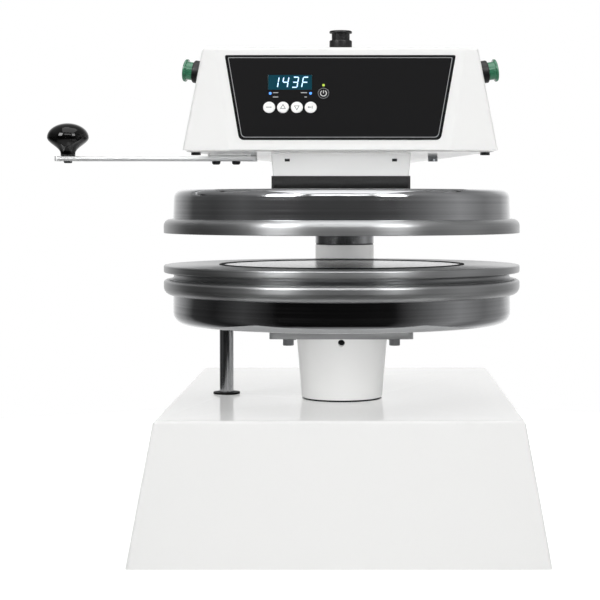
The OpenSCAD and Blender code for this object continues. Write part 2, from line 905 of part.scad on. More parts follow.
// Three-pin power inlet set into the rear wall
module power_inlet() color(black_plastic)
    translate([inlet_x, base_rear, inlet_z])
        rotate([-90, 0, 0]) {
            difference() {
                union() {
                    round_plate(inlet_flange.x, inlet_flange.y, 4, inlet_flange_t);
                    translate([0, 0, -inlet_body_t])
                        round_plate(inlet_body.x, inlet_body.y, 2, inlet_body_t);
                }
                translate([0, 0, inlet_flange_t - inlet_well_depth])
                    round_plate(inlet_well.x, inlet_well.y, 2, inlet_well_depth + overcut);
            }
            for (i = [-1:1])
                translate([i * inlet_pin_dx - inlet_pin.x / 2, -inlet_pin.y / 2 + (1 - abs(i)) * 2,
                    inlet_flange_t - inlet_well_depth])
                    cube([inlet_pin.x, inlet_pin.y, inlet_well_depth - 2]);
        }

// Lift

module piston() color(polished)
    difference() {
        bar(cylinder_r - slide_gap, piston_z, piston_t);
        tube(cylinder_r, cylinder_r - seal_depth, piston_z + piston_t / 2 - seal_w / 2, seal_w);
    }

module piston_seal() color(black_plastic)
    tube(cylinder_r - run_fit, cylinder_r - seal_depth, piston_z + piston_t / 2 - seal_w / 2, seal_w);

module piston_rod() color(bright_steel)
    bar(rod_r, piston_z + piston_t, bracket_z + rod_socket - piston_z - piston_t);

// Hollow cone under the bracket with a shank into the base, clamped to the rod by a set screw
module lift_hub() color(white_paint)
    difference() {
        rotate_extrude()
            polygon(rounded([
                [rod_r + seat_fit, bracket_z - hub_head_t],
                [hub_shank_r - hub_wall, bracket_z - hub_head_t],
                [hub_shank_r - hub_wall, hub_low_z],
                [hub_shank_r, hub_low_z],
                [hub_shank_r, base_h + hub_lip],
                [hub_foot_d / 2, base_h + hub_lip],
                [hub_top_r, bracket_z],
                [rod_r + seat_fit, bracket_z]
            ], [0, 0, 0, 0, 0, hub_foot_edge_r, 0, 0], 3));
        set_screw_bore();
    }

// Radial hole for the hub's set screw
module set_screw_bore() {
    translate([0, 0, set_screw_z])
        rotate([90, 0, 0]) cylinder(d = set_screw_d + 2 * seat_fit, h = hub_top_r + overcut);
}

module hub_set_screw() color(black_plastic)
    translate([0, -rod_r - seat_fit, set_screw_z])
        rotate([90, 0, 0])
            difference() {
                cylinder(d = set_screw_d, h = set_screw_len);
                hexagon(set_screw_d * 0.6, set_screw_len - 5, 5 + overcut);
            }

module platen_bracket() color(bright_steel)
    difference() {
        translate([0, 0, bracket_z]) round_plate(bracket_w, bracket_d, bracket_r, bracket_t);
        bar(rod_r + seat_fit, bracket_z - overcut, rod_socket + overcut);
        at_corners(bracket_bolt_dx, bracket_bolt_dy)
            bar(bracket_bolt_d / 2 + seat_fit, bracket_z - overcut, bracket_t + 2 * overcut);
    }

module bracket_bolts() color(grey_steel)
    at_corners(bracket_bolt_dx, bracket_bolt_dy)
        difference() {
            union() {
                bar(bracket_bolt_d / 2, bracket_z, bracket_t + pan_floor_t + tapped_depth);
                bar(bracket_bolt_head_d / 2, bracket_z - bracket_bolt_head_h, bracket_bolt_head_h);
            }
            hexagon(bracket_bolt_hex_d, bracket_z - bracket_bolt_head_h - overcut,
                bracket_bolt_hex_depth + overcut);
        }

// Spun pan with a rolled bead round its rim
module lower_platen_pan() color(polished)
    difference() {
        rotate_extrude($fn = 180)
            polygon(rounded([
                [0, pan_z],
                [body_r, pan_z],
                [body_r, bead_z],
                [rim_r, bead_z],
                [rim_r, bead_top_z],
                [body_r - pan_wall, bead_top_z],
                [body_r - pan_wall, pan_z + pan_floor_t],
                [0, pan_z + pan_floor_t]
            ], [0, pan_corner_r, 0, bead_low_r, bead_top_r, 0, pan_corner_r - pan_floor_t, 0], 6));
        at_corners(bracket_bolt_dx, bracket_bolt_dy)
            bar(bracket_bolt_d / 2 + seat_fit, pan_z - overcut, pan_floor_t + 2 * overcut);
        translate([-guide_x, guide_y, 0])
            bar(guide_stud_d / 2 + seat_fit, pan_z - overcut, pan_floor_t + 2 * overcut);
    }

// Turned plate with a raised ring, and bosses down to the pan's floor
module lower_platen_plate() color(polished)
    difference() {
        union() {
            rotate_extrude($fn = 180)
                polygon(rounded([
                    [0, bead_top_z],
                    [groove_lip_r, bead_top_z],
                    [groove_lip_r, bead_top_z + groove_lip_t],
                    [groove_r, bead_top_z + groove_lip_t],
                    [groove_r, flange_z],
                    [rim_r, flange_z],
                    [rim_r, lower_z],
                    [ring_d / 2, lower_z],
                    [ring_d / 2, lower_z + ring_h],
                    [ring_d / 2 - ring_w, lower_z + ring_h],
                    [ring_d / 2 - ring_w, lower_z],
                    [0, lower_z]
                ], [
                    0, 0, 0, groove_foot_r, 0, flange_edge_r, flange_edge_r, 0, ring_h / 3, ring_h / 3, 0, 0
                ], 4));
            at_corners(bracket_bolt_dx, bracket_bolt_dy)
                bar(boss_r, pan_z + pan_floor_t, bead_top_z - pan_z - pan_floor_t + overcut);
        }
        at_corners(bracket_bolt_dx, bracket_bolt_dy)
            bar(bracket_bolt_d / 2 + seat_fit, pan_z + pan_floor_t - overcut, tapped_depth + 2 * overcut);
    }

// Guide rod, its stud through the pan floor, and the nut that holds it
module guide_rod() color(bright_steel)
    translate([-guide_x, guide_y, 0]) {
        bar(guide_r, base_h - guide_drop, pan_z - base_h + guide_drop);
        bar(guide_stud_d / 2, pan_z, pan_floor_t + guide_nut_h);
        hexagon(guide_nut_d, pan_z + pan_floor_t, guide_nut_h);
    }

// Head

module swing_shaft() color(bright_steel)
    translate([0, column_y, 0])
        tube(shaft_r, shaft_bore / 2, shaft_z, shaft_top_z - shaft_z);

module shaft_sleeve() color(bright_steel)
    translate([0, column_y, 0])
        tube(column_r, shaft_r + seat_fit, column_top_z + thrust_t + slide_gap / 3,
            floor_z - column_top_z - thrust_t - slide_gap / 3);

// Disc on the lower end of the shaft that keeps the head from lifting
module shaft_retainer() color(dark_steel)
    translate([0, column_y, 0]) {
        bar((shaft_r + tube_bore_r) / 2, shaft_z - retainer_t, retainer_t);
        bar(shaft_bore / 2 - seat_fit, shaft_z, retainer_plug);
    }

// Cast arm: flange, two webs that deepen towards the shaft, and the shaft boss
module head_arm() color(dark_steel)
    difference() {
        union() {
            translate([-arm_w / 2, -arm_nose, arm_z])
                cube([arm_w, arm_nose + column_y, arm_flange_t]);
            translate([-hanger_side / 2, -arm_nose, arm_z])
                cube([hanger_side, 2 * arm_nose, arm_flange_t]);
            translate([-arm_bolt_dx / 2 - arm_cross_d / 2, arm_bolt_y - arm_cross_d / 2, arm_z])
                cube([arm_bolt_dx + arm_cross_d, arm_cross_d, arm_flange_t]);
            for (x = [-1, 1])
                translate([x * (arm_w - arm_web_t) / 2 - arm_web_t / 2, 0, arm_z])
                    rotate([90, 0, 90])
                        linear_extrude(arm_web_t)
                            polygon([
                                [-arm_nose, 0], [column_y, 0], [column_y, arm_web_high],
                                [column_y - shaft_d, arm_web_high], [-arm_nose, arm_web_low]
                            ]);
            translate([0, column_y, 0])
                bar(shaft_r + arm_boss_wall, arm_z, shaft_top_z - arm_z);
        }
        translate([0, column_y, 0])
            bar(shaft_r + seat_fit, arm_z - overcut, shaft_top_z - arm_z + 2 * overcut);
        at_corners(stud_pitch, stud_pitch)
            bar(stud_nut_d / 2 + 2, arm_z + arm_flange_t, arm_web_high);
        at_corners(stud_pitch, stud_pitch)
            bar(stud_r + seat_fit, arm_z - overcut, arm_flange_t + 2 * overcut);
        at_arm_bolts() bar(arm_bolt_d / 2 + seat_fit, arm_z - overcut, arm_bolt_grip + overcut);
    }

module head_cover() color(white_paint)
    difference() {
        translate([0, 0, head_z])
            folded_housing(head_plan, head_leans, head_h, head_sheet, head_fold_r,
                0, head_ledge_t, head_ledge_w);
        on_face() face_openings(2 * head_sheet, key_gap, slide_gap);
        at_buttons() bar(plunger_d / 2 + run_fit + bezel_barrel_wall + seat_fit, -4 * head_sheet, 6 * head_sheet);
        translate([0, 0, head_z])
            at_head_bolts() bar(head_bolt_d / 2 + seat_fit, -overcut, head_ledge_t + 2 * overcut);
    }

module head_floor() color(white_paint)
    translate([0, 0, floor_z])
        difference() {
            section_plate(head_plan, head_leans, head_h, 0, head_floor_inset, head_fold_r, head_floor_t);
            translate([0, column_y, 0])
                bar(shaft_r + slide_gap, -overcut, head_floor_t + 2 * overcut);
            at_corners(stud_pitch, stud_pitch)
                bar(stud_r + slide_gap, -overcut, head_floor_t + 2 * overcut);
            at_head_bolts() bar(head_bolt_d / 2 + seat_fit, -overcut, head_floor_t + 2 * overcut);
            at_arm_bolts() bar(arm_bolt_d / 2 + seat_fit, -overcut, head_floor_t + 2 * overcut);
            at_handle_bolts() bar(handle_bolt_d / 2 + seat_fit, -overcut, head_floor_t + 2 * overcut);
        }

module head_bolts() color(dark_steel)
    translate([0, 0, floor_z]) {
        at_head_bolts() {
            bar(head_bolt_d / 2, 0, head_floor_t + head_ledge_t + 3);
            hexagon(head_bolt_head_d, -head_bolt_head_h, head_bolt_head_h);
        }
        at_arm_bolts() {
            bar(arm_bolt_d / 2, 0, head_floor_t + arm_bolt_grip);
            hexagon(arm_bolt_head_d, -arm_bolt_head_h, arm_bolt_head_h);
        }
    }

module control_panel() color(black_plastic)
    on_face()
        difference() {
            translate([0, panel_v0, 0])
                linear_extrude(panel_t)
                    polygon(rounded([
                        [-panel_low_w / 2, 0], [panel_low_w / 2, 0],
                        [panel_top_w / 2, panel_h], [-panel_top_w / 2, panel_h]
                    ], [panel_low_corner_r, panel_low_corner_r, panel_top_corner_r, panel_top_corner_r], 4));
            face_openings(2 * panel_t, key_gap, slide_gap);
        }

module display_window() color("#0a1c26")
    on_face()
        translate([display_u - display_w / 2, display_v - display_h / 2, -display_depth])
            cube([display_w, display_h, display_depth + panel_t + display_proud]);

module indicator_lamps() color("#2f7fd0")
    on_face()
        for (p = lamp_at)
            translate([p.x, p.y, -lamp_len]) bar(lamp_d / 2, 0, lamp_len + panel_t);

// Circuit board on four pillars, with a switch behind each key
module control_board() color("#1d5b3a")
    on_face() {
        difference() {
            translate([board_u - board_w / 2, board_v - board_h / 2, -board_depth - board_t])
                cube([board_w, board_h, board_t]);
            for (p = lamp_at)
                translate([p.x, p.y, -board_depth - board_t - overcut])
                    cylinder(d = 1, h = board_t + 2 * overcut);
        }
        translate([board_u, board_v, 0])
            at_corners(board_pillar_dx, board_pillar_dv)
                bar(board_pillar_d / 2, -board_depth - seat_fit, board_depth + seat_fit - head_sheet);
        for (i = [0:3])
            translate([key_first_u + i * key_pitch, key_row_v, 0]) board_switch();
        translate([power_u, power_v, 0]) board_switch();
        translate([display_u - display_w / 2, display_v - display_h / 2, -board_depth - seat_fit])
            cube([display_w, display_h, board_depth + seat_fit - display_depth]);
        for (p = lamp_at)
            translate([p.x, p.y, -board_depth - seat_fit])
                bar(lamp_d / 2, 0, board_depth + seat_fit - lamp_len);
    }

// Switch that stands on the board, short of the key stem by more than its travel
module board_switch() {
    stem_end = key_stem_len + head_sheet + key_flange_t;
    bar(switch_d / 2, -board_depth - seat_fit, board_depth - stem_end - key_travel - switch_gap);
}

// White sheet box round the neck, with two slots in its front
module neck_housing() color(white_paint)
    difference() {
        translate([0, 0, neck_z])
            difference() {
                hull() {
                    slice(neck_plan, neck_leans, neck_h, 0, 0, neck_fold_r);
                    slice(neck_plan, neck_leans, neck_h, neck_h - slice_t, 0, neck_fold_r);
                }
                hull() {
                    slice(neck_plan, neck_leans, neck_h, -overcut, neck_sheet, neck_fold_r / 4);
                    slice(neck_plan, neck_leans, neck_h, neck_h + overcut, neck_sheet, neck_fold_r / 4);
                }
            }
        for (x = [-1, 1])
            translate([x * neck_slot_dx / 2, -neck_d / 2, floor_z - neck_slot_drop])
                cube([neck_slot.x, 4 * neck_flare + 4 * neck_sheet, neck_slot.y], center = true);
    }

module platen_hanger() color(dark_steel)
    difference() {
        translate([0, 0, neck_z]) round_plate(hanger_side, hanger_side, 8, neck_h);
        at_corners(stud_pitch, stud_pitch)
            bar(stud_r + seat_fit, neck_z - overcut, neck_h + 2 * overcut);
    }

module insulator_block() color("#3b3b3c")
    difference() {
        translate([0, 0, insulator_z]) round_plate(insulator_w, insulator_d, 3, insulator_t);
        at_corners(stud_pitch, stud_pitch)
            bar(stud_r + seat_fit, insulator_z - overcut, insulator_t + 2 * overcut);
    }

// Spun cover over the heater
module upper_platen_cover() color(polished)
    difference() {
        rotate_extrude($fn = 180)
            polygon(rounded([
                [body_r - cover_sheet, cover_z],
                [body_r, cover_z],
                [body_r - cover_draft, insulator_z],
                [0, insulator_z],
                [0, insulator_z - cover_sheet],
                [body_r - cover_draft - cover_sheet, insulator_z - cover_sheet]
            ], [0, 0, cover_corner_r, 0, 0, cover_corner_r - cover_sheet], 8));
        at_corners(stud_pitch, stud_pitch)
            bar(stud_r + seat_fit, insulator_z - 2 * cover_sheet, 3 * cover_sheet);
    }

// Heated plate with bosses up to its cover
module upper_platen_plate() color(polished)
    difference() {
        union() {
            rotate_extrude($fn = 180)
                polygon(rounded([
                    [0, upper_z], [rim_r, upper_z], [rim_r, cover_z], [0, cover_z]
                ], [0, 0.8, upper_edge_r, 0], 6));
            at_corners(stud_pitch, stud_pitch)
                bar(boss_r, cover_z - overcut, cover_h - cover_sheet + overcut);
        }
        at_corners(stud_pitch, stud_pitch)
            bar(stud_r + seat_fit, cover_z - upper_t / 2, upper_t / 2 + cover_h + overcut);
    }

// Tubular heater laid on the plate in an open loop, with its two terminals
module heater_element() color(dark_steel)
    translate([0, 0, cover_z + heater_d / 2]) {
        rotate(-90 + (360 - heater_sweep) / 2)
            rotate_extrude(angle = heater_sweep)
                translate([heater_r, 0]) circle(d = heater_d);
        for (side = [-1, 1])
            rotate(-90 + side * (360 - heater_sweep) / 2)
                translate([heater_r, 0, 0]) {
                    sphere(d = heater_d);
                    cylinder(d = heater_d, h = heater_pin_h);
                }
    }

module temperature_probe() color(bright_steel)
    translate([probe_at, 0, cover_z]) {
        hexagon(probe_hex_d, 0, probe_hex_h);
        bar(probe_d / 2, 0, probe_h);
    }

// Studs that clamp arm, hanger, insulator, cover and heated plate together
module platen_studs() color(bright_steel)
    at_corners(stud_pitch, stud_pitch) {
        bar(stud_r, cover_z - upper_t / 2, arm_z + arm_flange_t + stud_nut_h + 3 - cover_z + upper_t / 2);
        hexagon(stud_nut_d, arm_z + arm_flange_t, stud_nut_h);
    }

// Handle

// Children at the two bolts in the root of the handle bar
module at_handle_bolts() {
    for (i = [0, 1])
        translate([-handle_root - handle_bolt_from_root - i * handle_bolt_pitch, handle_y, 0])
            children();
}

// Children at the knob
module at_knob() {
    translate([-handle_reach + knob_from_end, handle_y, handle_z]) children();
}

module handle_bar() color(bright_steel)
    difference() {
        translate([-handle_reach + handle_len / 2, handle_y, handle_z])
            round_plate(handle_len, handle_w, 4, handle_t);
        at_handle_bolts() bar(handle_bolt_d / 2 + seat_fit, handle_z - overcut, handle_t + 2 * overcut);
        at_knob() bar(handle_bolt_d / 2 + seat_fit, -overcut, handle_t + 2 * overcut);
    }

module handle_spacer() color(bright_steel)
    difference() {
        translate([-handle_root - handle_spacer_back - handle_spacer_len / 2, handle_y, handle_z + handle_t])
            round_plate(handle_spacer_len, handle_w, 3, handle_spacer_t);
        at_handle_bolts()
            bar(handle_bolt_d / 2 + seat_fit, handle_z + handle_t - overcut, handle_spacer_t + 2 * overcut);
    }

// Bolt with a domed head below, its shank reaching up by grip
module domed_bolt(d, head_d, head_h, grip) {
    bar(d / 2, 0, grip);
    rotate_extrude()
        polygon(rounded([[0, -head_h], [head_d / 2, -head_h], [head_d / 2, 0], [0, 0]],
            [0, head_h * 0.6, 0, 0], 4));
}

module handle_bolts() color(dark_steel) {
    at_handle_bolts()
        translate([0, 0, handle_z])
            domed_bolt(handle_bolt_d, handle_bolt_head_d, handle_bolt_head_h,
                handle_t + handle_spacer_t + head_floor_t);
    at_knob() domed_bolt(handle_bolt_d, knob_bolt_head_d, knob_bolt_head_h, handle_t + knob_h / 2);
}

// Profile of the knob: an ogee from the neck to the widest line, then a half oval
function knob_profile(steps) =
    let (
        widest_z = knob_h * knob_widest,
        neck_r = knob_neck_d / 2,
        full_r = knob_d / 2,
        foot_z = 4
    )
    concat(
        [[0, 0], [neck_r, 0]],
        [for (i = [0:steps])
            [neck_r + (full_r - neck_r) * (1 - cos(180 * i / steps)) / 2,
             foot_z + (widest_z - foot_z) * i / steps]],
        [for (i = [1:steps])
            [full_r * cos(90 * i / steps),
             widest_z + (knob_h - widest_z) * sin(90 * i / steps)]]
    );

module handle_knob() color(black_plastic)
    at_knob()
        translate([0, 0, handle_t])
            difference() {
                rotate_extrude() polygon(knob_profile(10));
                bar(handle_bolt_d / 2 + seat_fit, -overcut, knob_h / 2 + 2 * overcut);
            }

// Push buttons

// Bezel, its threaded barrel through the sheet and the nut behind it
module bezel() {
    bore_r = plunger_d / 2 + run_fit;
    barrel_r = bore_r + bezel_barrel_wall;
    rotate_extrude()
        polygon(rounded([
            [bore_r, -bezel_barrel_len], [barrel_r, -bezel_barrel_len], [barrel_r, 0],
            [bezel_d / 2, 0], [bezel_d / 2, bezel_h], [bore_r, bezel_h]
        ], [0, 0, 0, 0, bezel_edge_r, 0], 3));
}

// Ring nut and contact block behind the sheet
module contact_block() {
    barrel_r = plunger_d / 2 + run_fit + bezel_barrel_wall;
    nut_z = -head_sheet - bezel_nut_t;
    collar_z = nut_z - contact_collar_len;
    difference() {
        union() {
            bar(bezel_nut_d / 2, nut_z, bezel_nut_t);
            bar(barrel_r + 2, collar_z, contact_collar_len);
            translate([0, 0, collar_z - contact_len])
                round_plate(contact_side, contact_side, 2, contact_len);
        }
        bar(barrel_r + seat_fit, collar_z, contact_collar_len + bezel_nut_t + overcut);
    }
}

// Mushroom push button: cap, plunger and the flange that keeps it in its bezel
module push_button() {
    plunger_r = plunger_d / 2;
    cap_z = bezel_h + plunger_neck_h;
    flange_z = -bezel_barrel_len - slide_gap - plunger_flange_t;
    rotate_extrude()
        polygon(rounded([
            [0, flange_z],
            [plunger_r + plunger_flange, flange_z],
            [plunger_r + plunger_flange, flange_z + plunger_flange_t],
            [plunger_r, flange_z + plunger_flange_t],
            [plunger_r, cap_z],
            [bezel_d / 2, cap_z],
            [bezel_d / 2, cap_z + button_cap_t],
            [0, cap_z + button_cap_t]
        ], [0, 0, 0, 0, 0, 0.6, button_cap_t * 0.45, 0], 4));
}

module button_bezels() color(black_plastic) at_buttons() bezel();
module button_contacts() color(dark_steel) at_buttons() contact_block();
module left_palm_button() color(green_plastic) on_left_side() push_button();
module right_palm_button() color(green_plastic) on_right_side() push_button();
module top_button() color(black_plastic) on_head_top() push_button();

// Round key: cap through the panel, retaining flange behind the sheet, and stem
module key() {
    top = panel_t + key_proud;
    back = -head_sheet - slide_gap / 2;
    rotate_extrude()
        polygon(rounded([
            [0, back - key_flange_t - key_stem_len + slide_gap],
            [key_stem_d / 2, back - key_flange_t - key_stem_len + slide_gap],
            [key_stem_d / 2, back - key_flange_t],
            [key_d / 2 + key_flange, back - key_flange_t],
            [key_d / 2 + key_flange, back],
            [key_d / 2, back],
            [key_d / 2, top],
            [0, top]
        ], [0, 0, 0, 0, 0, 0, key_edge_r, 0], 3));
}

module key_menu() color("white") at_key(0) key();
module key_up() color("white") at_key(1) key();
module key_down() color("white") at_key(2) key();
module key_enter() color("white") at_key(3) key();
module key_power() color(black_plastic) at_power_key() key();

base_housing();
base_floor();
base_screws();
column_foot();
column_bolts();
column_tube();
swing_bushes();
thrust_washer();
cylinder_lower_cap();
cylinder_barrel();
cylinder_upper_cap();
cylinder_tie_rods();
guide_bush();
air_valve();
air_tubes();
air_inlet();
power_inlet();
piston();
piston_seal();
piston_rod();
lift_hub();
hub_set_screw();
platen_bracket();
bracket_bolts();
lower_platen_pan();
lower_platen_plate();
guide_rod();
swing_shaft();
shaft_sleeve();
shaft_retainer();
head_arm();
head_cover();
head_floor();
head_bolts();
control_panel();
display_window();
indicator_lamps();
control_board();
neck_housing();
platen_hanger();
insulator_block();
upper_platen_cover();
upper_platen_plate();
heater_element();
temperature_probe();
platen_studs();
handle_bar();
handle_spacer();
handle_bolts();
handle_knob();
button_bezels();
button_contacts();
left_palm_button();
right_palm_button();
top_button();
key_menu();
key_up();
key_down();
key_enter();
key_power();
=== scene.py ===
"""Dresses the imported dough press: smooth skins, finishes, panel print, studio light and camera."""
import json
import math

import bmesh
import bpy
from bpy.props import FloatProperty, FloatVectorProperty, IntProperty, PointerProperty
from mathutils import Matrix, Vector


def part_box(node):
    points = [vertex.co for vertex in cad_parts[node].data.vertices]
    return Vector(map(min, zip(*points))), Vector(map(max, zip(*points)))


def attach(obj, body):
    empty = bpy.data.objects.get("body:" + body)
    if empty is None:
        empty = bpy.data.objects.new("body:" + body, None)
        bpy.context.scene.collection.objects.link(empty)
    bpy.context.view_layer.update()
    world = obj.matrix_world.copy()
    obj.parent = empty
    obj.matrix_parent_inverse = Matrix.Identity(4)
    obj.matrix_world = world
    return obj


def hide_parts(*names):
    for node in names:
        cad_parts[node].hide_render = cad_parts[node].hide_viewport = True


bl_info = {
    "name": "Dough press finishes",
    "version": (1, 0, 0),
    "blender": (4, 5, 0),
    "location": "3D View > Sidebar > Dough press",
    "description": "Finishes, panel print, light and camera for the dough press",
    "category": "Object",
}

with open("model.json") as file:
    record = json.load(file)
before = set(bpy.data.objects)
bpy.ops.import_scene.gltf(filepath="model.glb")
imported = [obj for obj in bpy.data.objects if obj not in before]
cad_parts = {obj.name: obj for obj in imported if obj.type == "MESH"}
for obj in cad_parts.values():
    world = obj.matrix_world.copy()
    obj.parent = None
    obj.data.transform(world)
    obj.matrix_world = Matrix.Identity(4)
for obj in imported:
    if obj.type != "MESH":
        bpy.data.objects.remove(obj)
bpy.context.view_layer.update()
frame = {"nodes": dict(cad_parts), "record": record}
MM = 0.001
NODES = frame["nodes"]
RECORD = frame["record"]
JOINTS = {joint["name"]: joint for joint in RECORD["behaviour"]["joints"]}
BODY_OF = {node: body for body, nodes in RECORD["behaviour"]["bodies"].items() for node in nodes}
SLOT_OF = {part["node"]: part["material_slot"] for part in RECORD["subparts"]}


def linear(code):
    """Linear RGBA of an sRGB hex colour."""
    channels = [int(code[i:i + 2], 16) / 255 for i in (1, 3, 5)]
    return [c / 12.92 if c <= 0.04045 else ((c + 0.055) / 1.055) ** 2.4 for c in channels] + [1.0]


def colour(name, code, description):
    """Colour property whose default is an sRGB hex value."""
    return FloatVectorProperty(name=name, description=description, subtype="COLOR", size=4,
                               min=0, max=1, default=linear(code))


# Settings that a user would change

class DoughPressColours(bpy.types.PropertyGroup):
    """Colours of the finishes."""
    paint: colour("Paint", "#f1f1f0", "White powder coat on base, column and head")
    polished: colour("Polished sheet", "#b9babc", "Polished stainless of the pan and the upper cover")
    spun: colour("Spun metal", "#b3b4b5", "Turned aluminium of the platen rims")
    lapped: colour("Lapped plate", "#a3a4a5", "Working face of the lower platen")
    steel: colour("Ground steel", "#bcbdbf", "Chromed steel of the sleeve, the shaft and the rods")
    black: colour("Black plastic", "#060606", "Gloss black of the handle knob")
    green: colour("Green plastic", "#3b795b", "Moulded green of the palm buttons")
    panel: colour("Panel film", "#101011", "Black film of the control panel")
    window: colour("Display window", "#083e4d", "Tinted window of the display")
    digits: colour("Display digits", "#b9ddff", "Lit segments of the display")
    insulator: colour("Insulator", "#2f2f2f", "Dark board between neck and upper platen")


class DoughPressSizes(bpy.types.PropertyGroup):
    """Sizes of the printed and lit details."""
    inset: FloatProperty(name="Panel line inset",
                         description="Distance of the panel's line from its edge",
                         default=3.0 * MM, min=1 * MM, max=8 * MM, unit="LENGTH")
    line: FloatProperty(name="Panel line width", description="Width of the panel's line",
                        default=0.8 * MM, min=0.2 * MM, max=2 * MM, unit="LENGTH")
    digit_height: FloatProperty(name="Digit height", description="Height of a display digit",
                                default=13.2 * MM, min=8 * MM, max=16 * MM, unit="LENGTH")
    digit_slant: FloatProperty(name="Digit slant", description="Slant of the display digits",
                               default=math.radians(9), min=0, max=math.radians(20), unit="ROTATION")
    print_height: FloatProperty(name="Print height", description="Thickness of printed marks",
                                default=0.06 * MM, min=0.02 * MM, max=0.2 * MM, unit="LENGTH")
    knurl_count: IntProperty(name="Knurl ridges", description="Ridges round a bracket bolt's head",
                             default=30, min=12, max=60)
    smooth_angle: FloatProperty(name="Smooth angle",
                                description="Edges flatter than this are shaded smooth",
                                default=math.radians(40), min=0, max=math.pi, subtype="ANGLE")


# Node helper and finishes

# Part of a noise's range that is spread over a finish, and a turn from along the marks to across them
NOISE_SPAN = (0.3, 0.7)
QUARTER_TURN = 0.25


def add_node(tree, kind, settings=None, inputs=None):
    """Adds a node, sets its properties, and sets or links its inputs."""
    node = tree.nodes.new(kind)
    for name, value in (settings or {}).items():
        setattr(node, name, value)
    for name, value in (inputs or {}).items():
        if isinstance(value, bpy.types.NodeSocket):
            tree.links.new(value, node.inputs[name])
        else:
            node.inputs[name].default_value = value
    return node


def finish(name, base, **sockets):
    """Material with one Principled shader; every plain value goes straight on its socket."""
    material = bpy.data.materials.get(name)
    if material:
        return material
    material = bpy.data.materials.new(name)
    material.use_nodes = True
    shader = material.node_tree.nodes["Principled BSDF"]
    shader.inputs["Base Color"].default_value = base
    for socket, value in sockets.items():
        shader.inputs[socket.replace("_", " ")].default_value = value
    return material


def grain(material, cell, stretch, depth, rough_low, rough_high, tone=0.0):
    """Fine relief, uneven gloss and tone; cell is the grain size in metres, stretch its direction."""
    tree = material.node_tree
    if "grain" in tree.nodes:
        return material
    shader = tree.nodes["Principled BSDF"]
    place = add_node(tree, "ShaderNodeTexCoord")
    scaled = add_node(tree, "ShaderNodeMapping", None,
                      {"Vector": place.outputs["Object"], "Scale": [s / cell for s in stretch]})
    noise = add_node(tree, "ShaderNodeTexNoise", {"name": "grain"},
                     {"Vector": scaled.outputs["Vector"], "Scale": 1.0, "Detail": 3.0})
    spread = add_node(tree, "ShaderNodeMapRange", None,
                      {"Value": noise.outputs["Fac"], "From Min": NOISE_SPAN[0],
                       "From Max": NOISE_SPAN[1], "To Min": rough_low, "To Max": rough_high})
    relief = add_node(tree, "ShaderNodeBump", None,
                      {"Height": noise.outputs["Fac"], "Strength": 1.0, "Distance": depth})
    tree.links.new(spread.outputs["Result"], shader.inputs["Roughness"])
    tree.links.new(relief.outputs["Normal"], shader.inputs["Normal"])
    if tone:
        base = shader.inputs["Base Color"].default_value
        shade = add_node(tree, "ShaderNodeMapRange", None,
                         {"Value": noise.outputs["Fac"], "From Min": NOISE_SPAN[0],
                          "From Max": NOISE_SPAN[1], "To Min": 1 - tone, "To Max": 1 + tone})
        streaks = add_node(tree, "ShaderNodeMix", {"data_type": "RGBA", "blend_type": "MULTIPLY"},
                           {"Factor": 1.0, "A": list(base), "B": shade.outputs["Result"]})
        tree.links.new(streaks.outputs["Result"], shader.inputs["Base Color"])
    return material


def turned(material, amount):
    """Lathe marks run round the press axis, so highlights spread across them, up and down a wall."""
    tree = material.node_tree
    shader = tree.nodes["Principled BSDF"]
    if not shader.inputs["Tangent"].is_linked:
        round_axis = add_node(tree, "ShaderNodeTangent", {"direction_type": "RADIAL", "axis": "Z"})
        tree.links.new(round_axis.outputs["Tangent"], shader.inputs["Tangent"])
        shader.inputs["Anisotropic"].default_value = amount
        shader.inputs["Anisotropic Rotation"].default_value = QUARTER_TURN
    return material


def powder_coat(colours):
    """Gloss powder coat on steel: clear gloss, and a slight orange peel with crests 3 mm apart."""
    material = finish("gloss_powder_coat", colours.paint, Specular_IOR_Level=0.03)
    return grain(material, 3.0 * MM, (1, 1, 1), 0.0002 * MM, 0.13, 0.16)


def polished_sheet(colours):
    """Polished stainless sheet: near mirror, with faint level lines left by the spinning lathe."""
    material = finish("polished_spun_stainless", colours.polished, Metallic=1.0)
    grain(material, 3.0 * MM, (0.004, 0.004, 1), 0.004 * MM, 0.09, 0.15, tone=0.12)
    return turned(material, 0.4)


def spun_metal(colours):
    """Turned aluminium: long soft highlights; lines at 3 mm, coarser than real, so that they show."""
    material = finish("turned_aluminium", colours.spun, Metallic=1.0)
    grain(material, 3.0 * MM, (0.004, 0.004, 1), 0.003 * MM, 0.34, 0.40, tone=0.10)
    return turned(material, 0.7)


def lapped_plate(colours):
    """Lapped aluminium inside the ring of the lower plate: satin, with faint turning marks."""
    material = finish("lapped_aluminium", colours.lapped, Metallic=1.0)
    return grain(material, 4.0 * MM, (1, 1, 0.05), 0.002 * MM, 0.16, 0.24, tone=0.06)


def ground_steel(colours):
    """Hard chromed steel: near mirror, with a slight break-up from grinding."""
    material = finish("chromed_steel", colours.steel, Metallic=1.0)
    return grain(material, 0.8 * MM, (1, 1, 0.05), 0.0006 * MM, 0.14, 0.20)


def gloss_black(colours):
    """Moulded phenolic, polished: deep black with sharp highlights."""
    return finish("polished_black_phenolic", colours.black, Roughness=0.07, Specular_IOR_Level=0.35)


def satin_black():
    """Moulded ABS, fine texture: black with broad dull highlights."""
    material = finish("satin_black_abs", linear("#121213"))
    return grain(material, 0.6 * MM, (1, 1, 1), 0.003 * MM, 0.34, 0.46)


def dull_black():
    """Moulded nylon: black, with hardly any shine."""
    material = finish("dull_black_nylon", linear("#0a0a0a"), Specular_IOR_Level=0.15)
    return grain(material, 0.8 * MM, (1, 1, 1), 0.004 * MM, 0.55, 0.7)


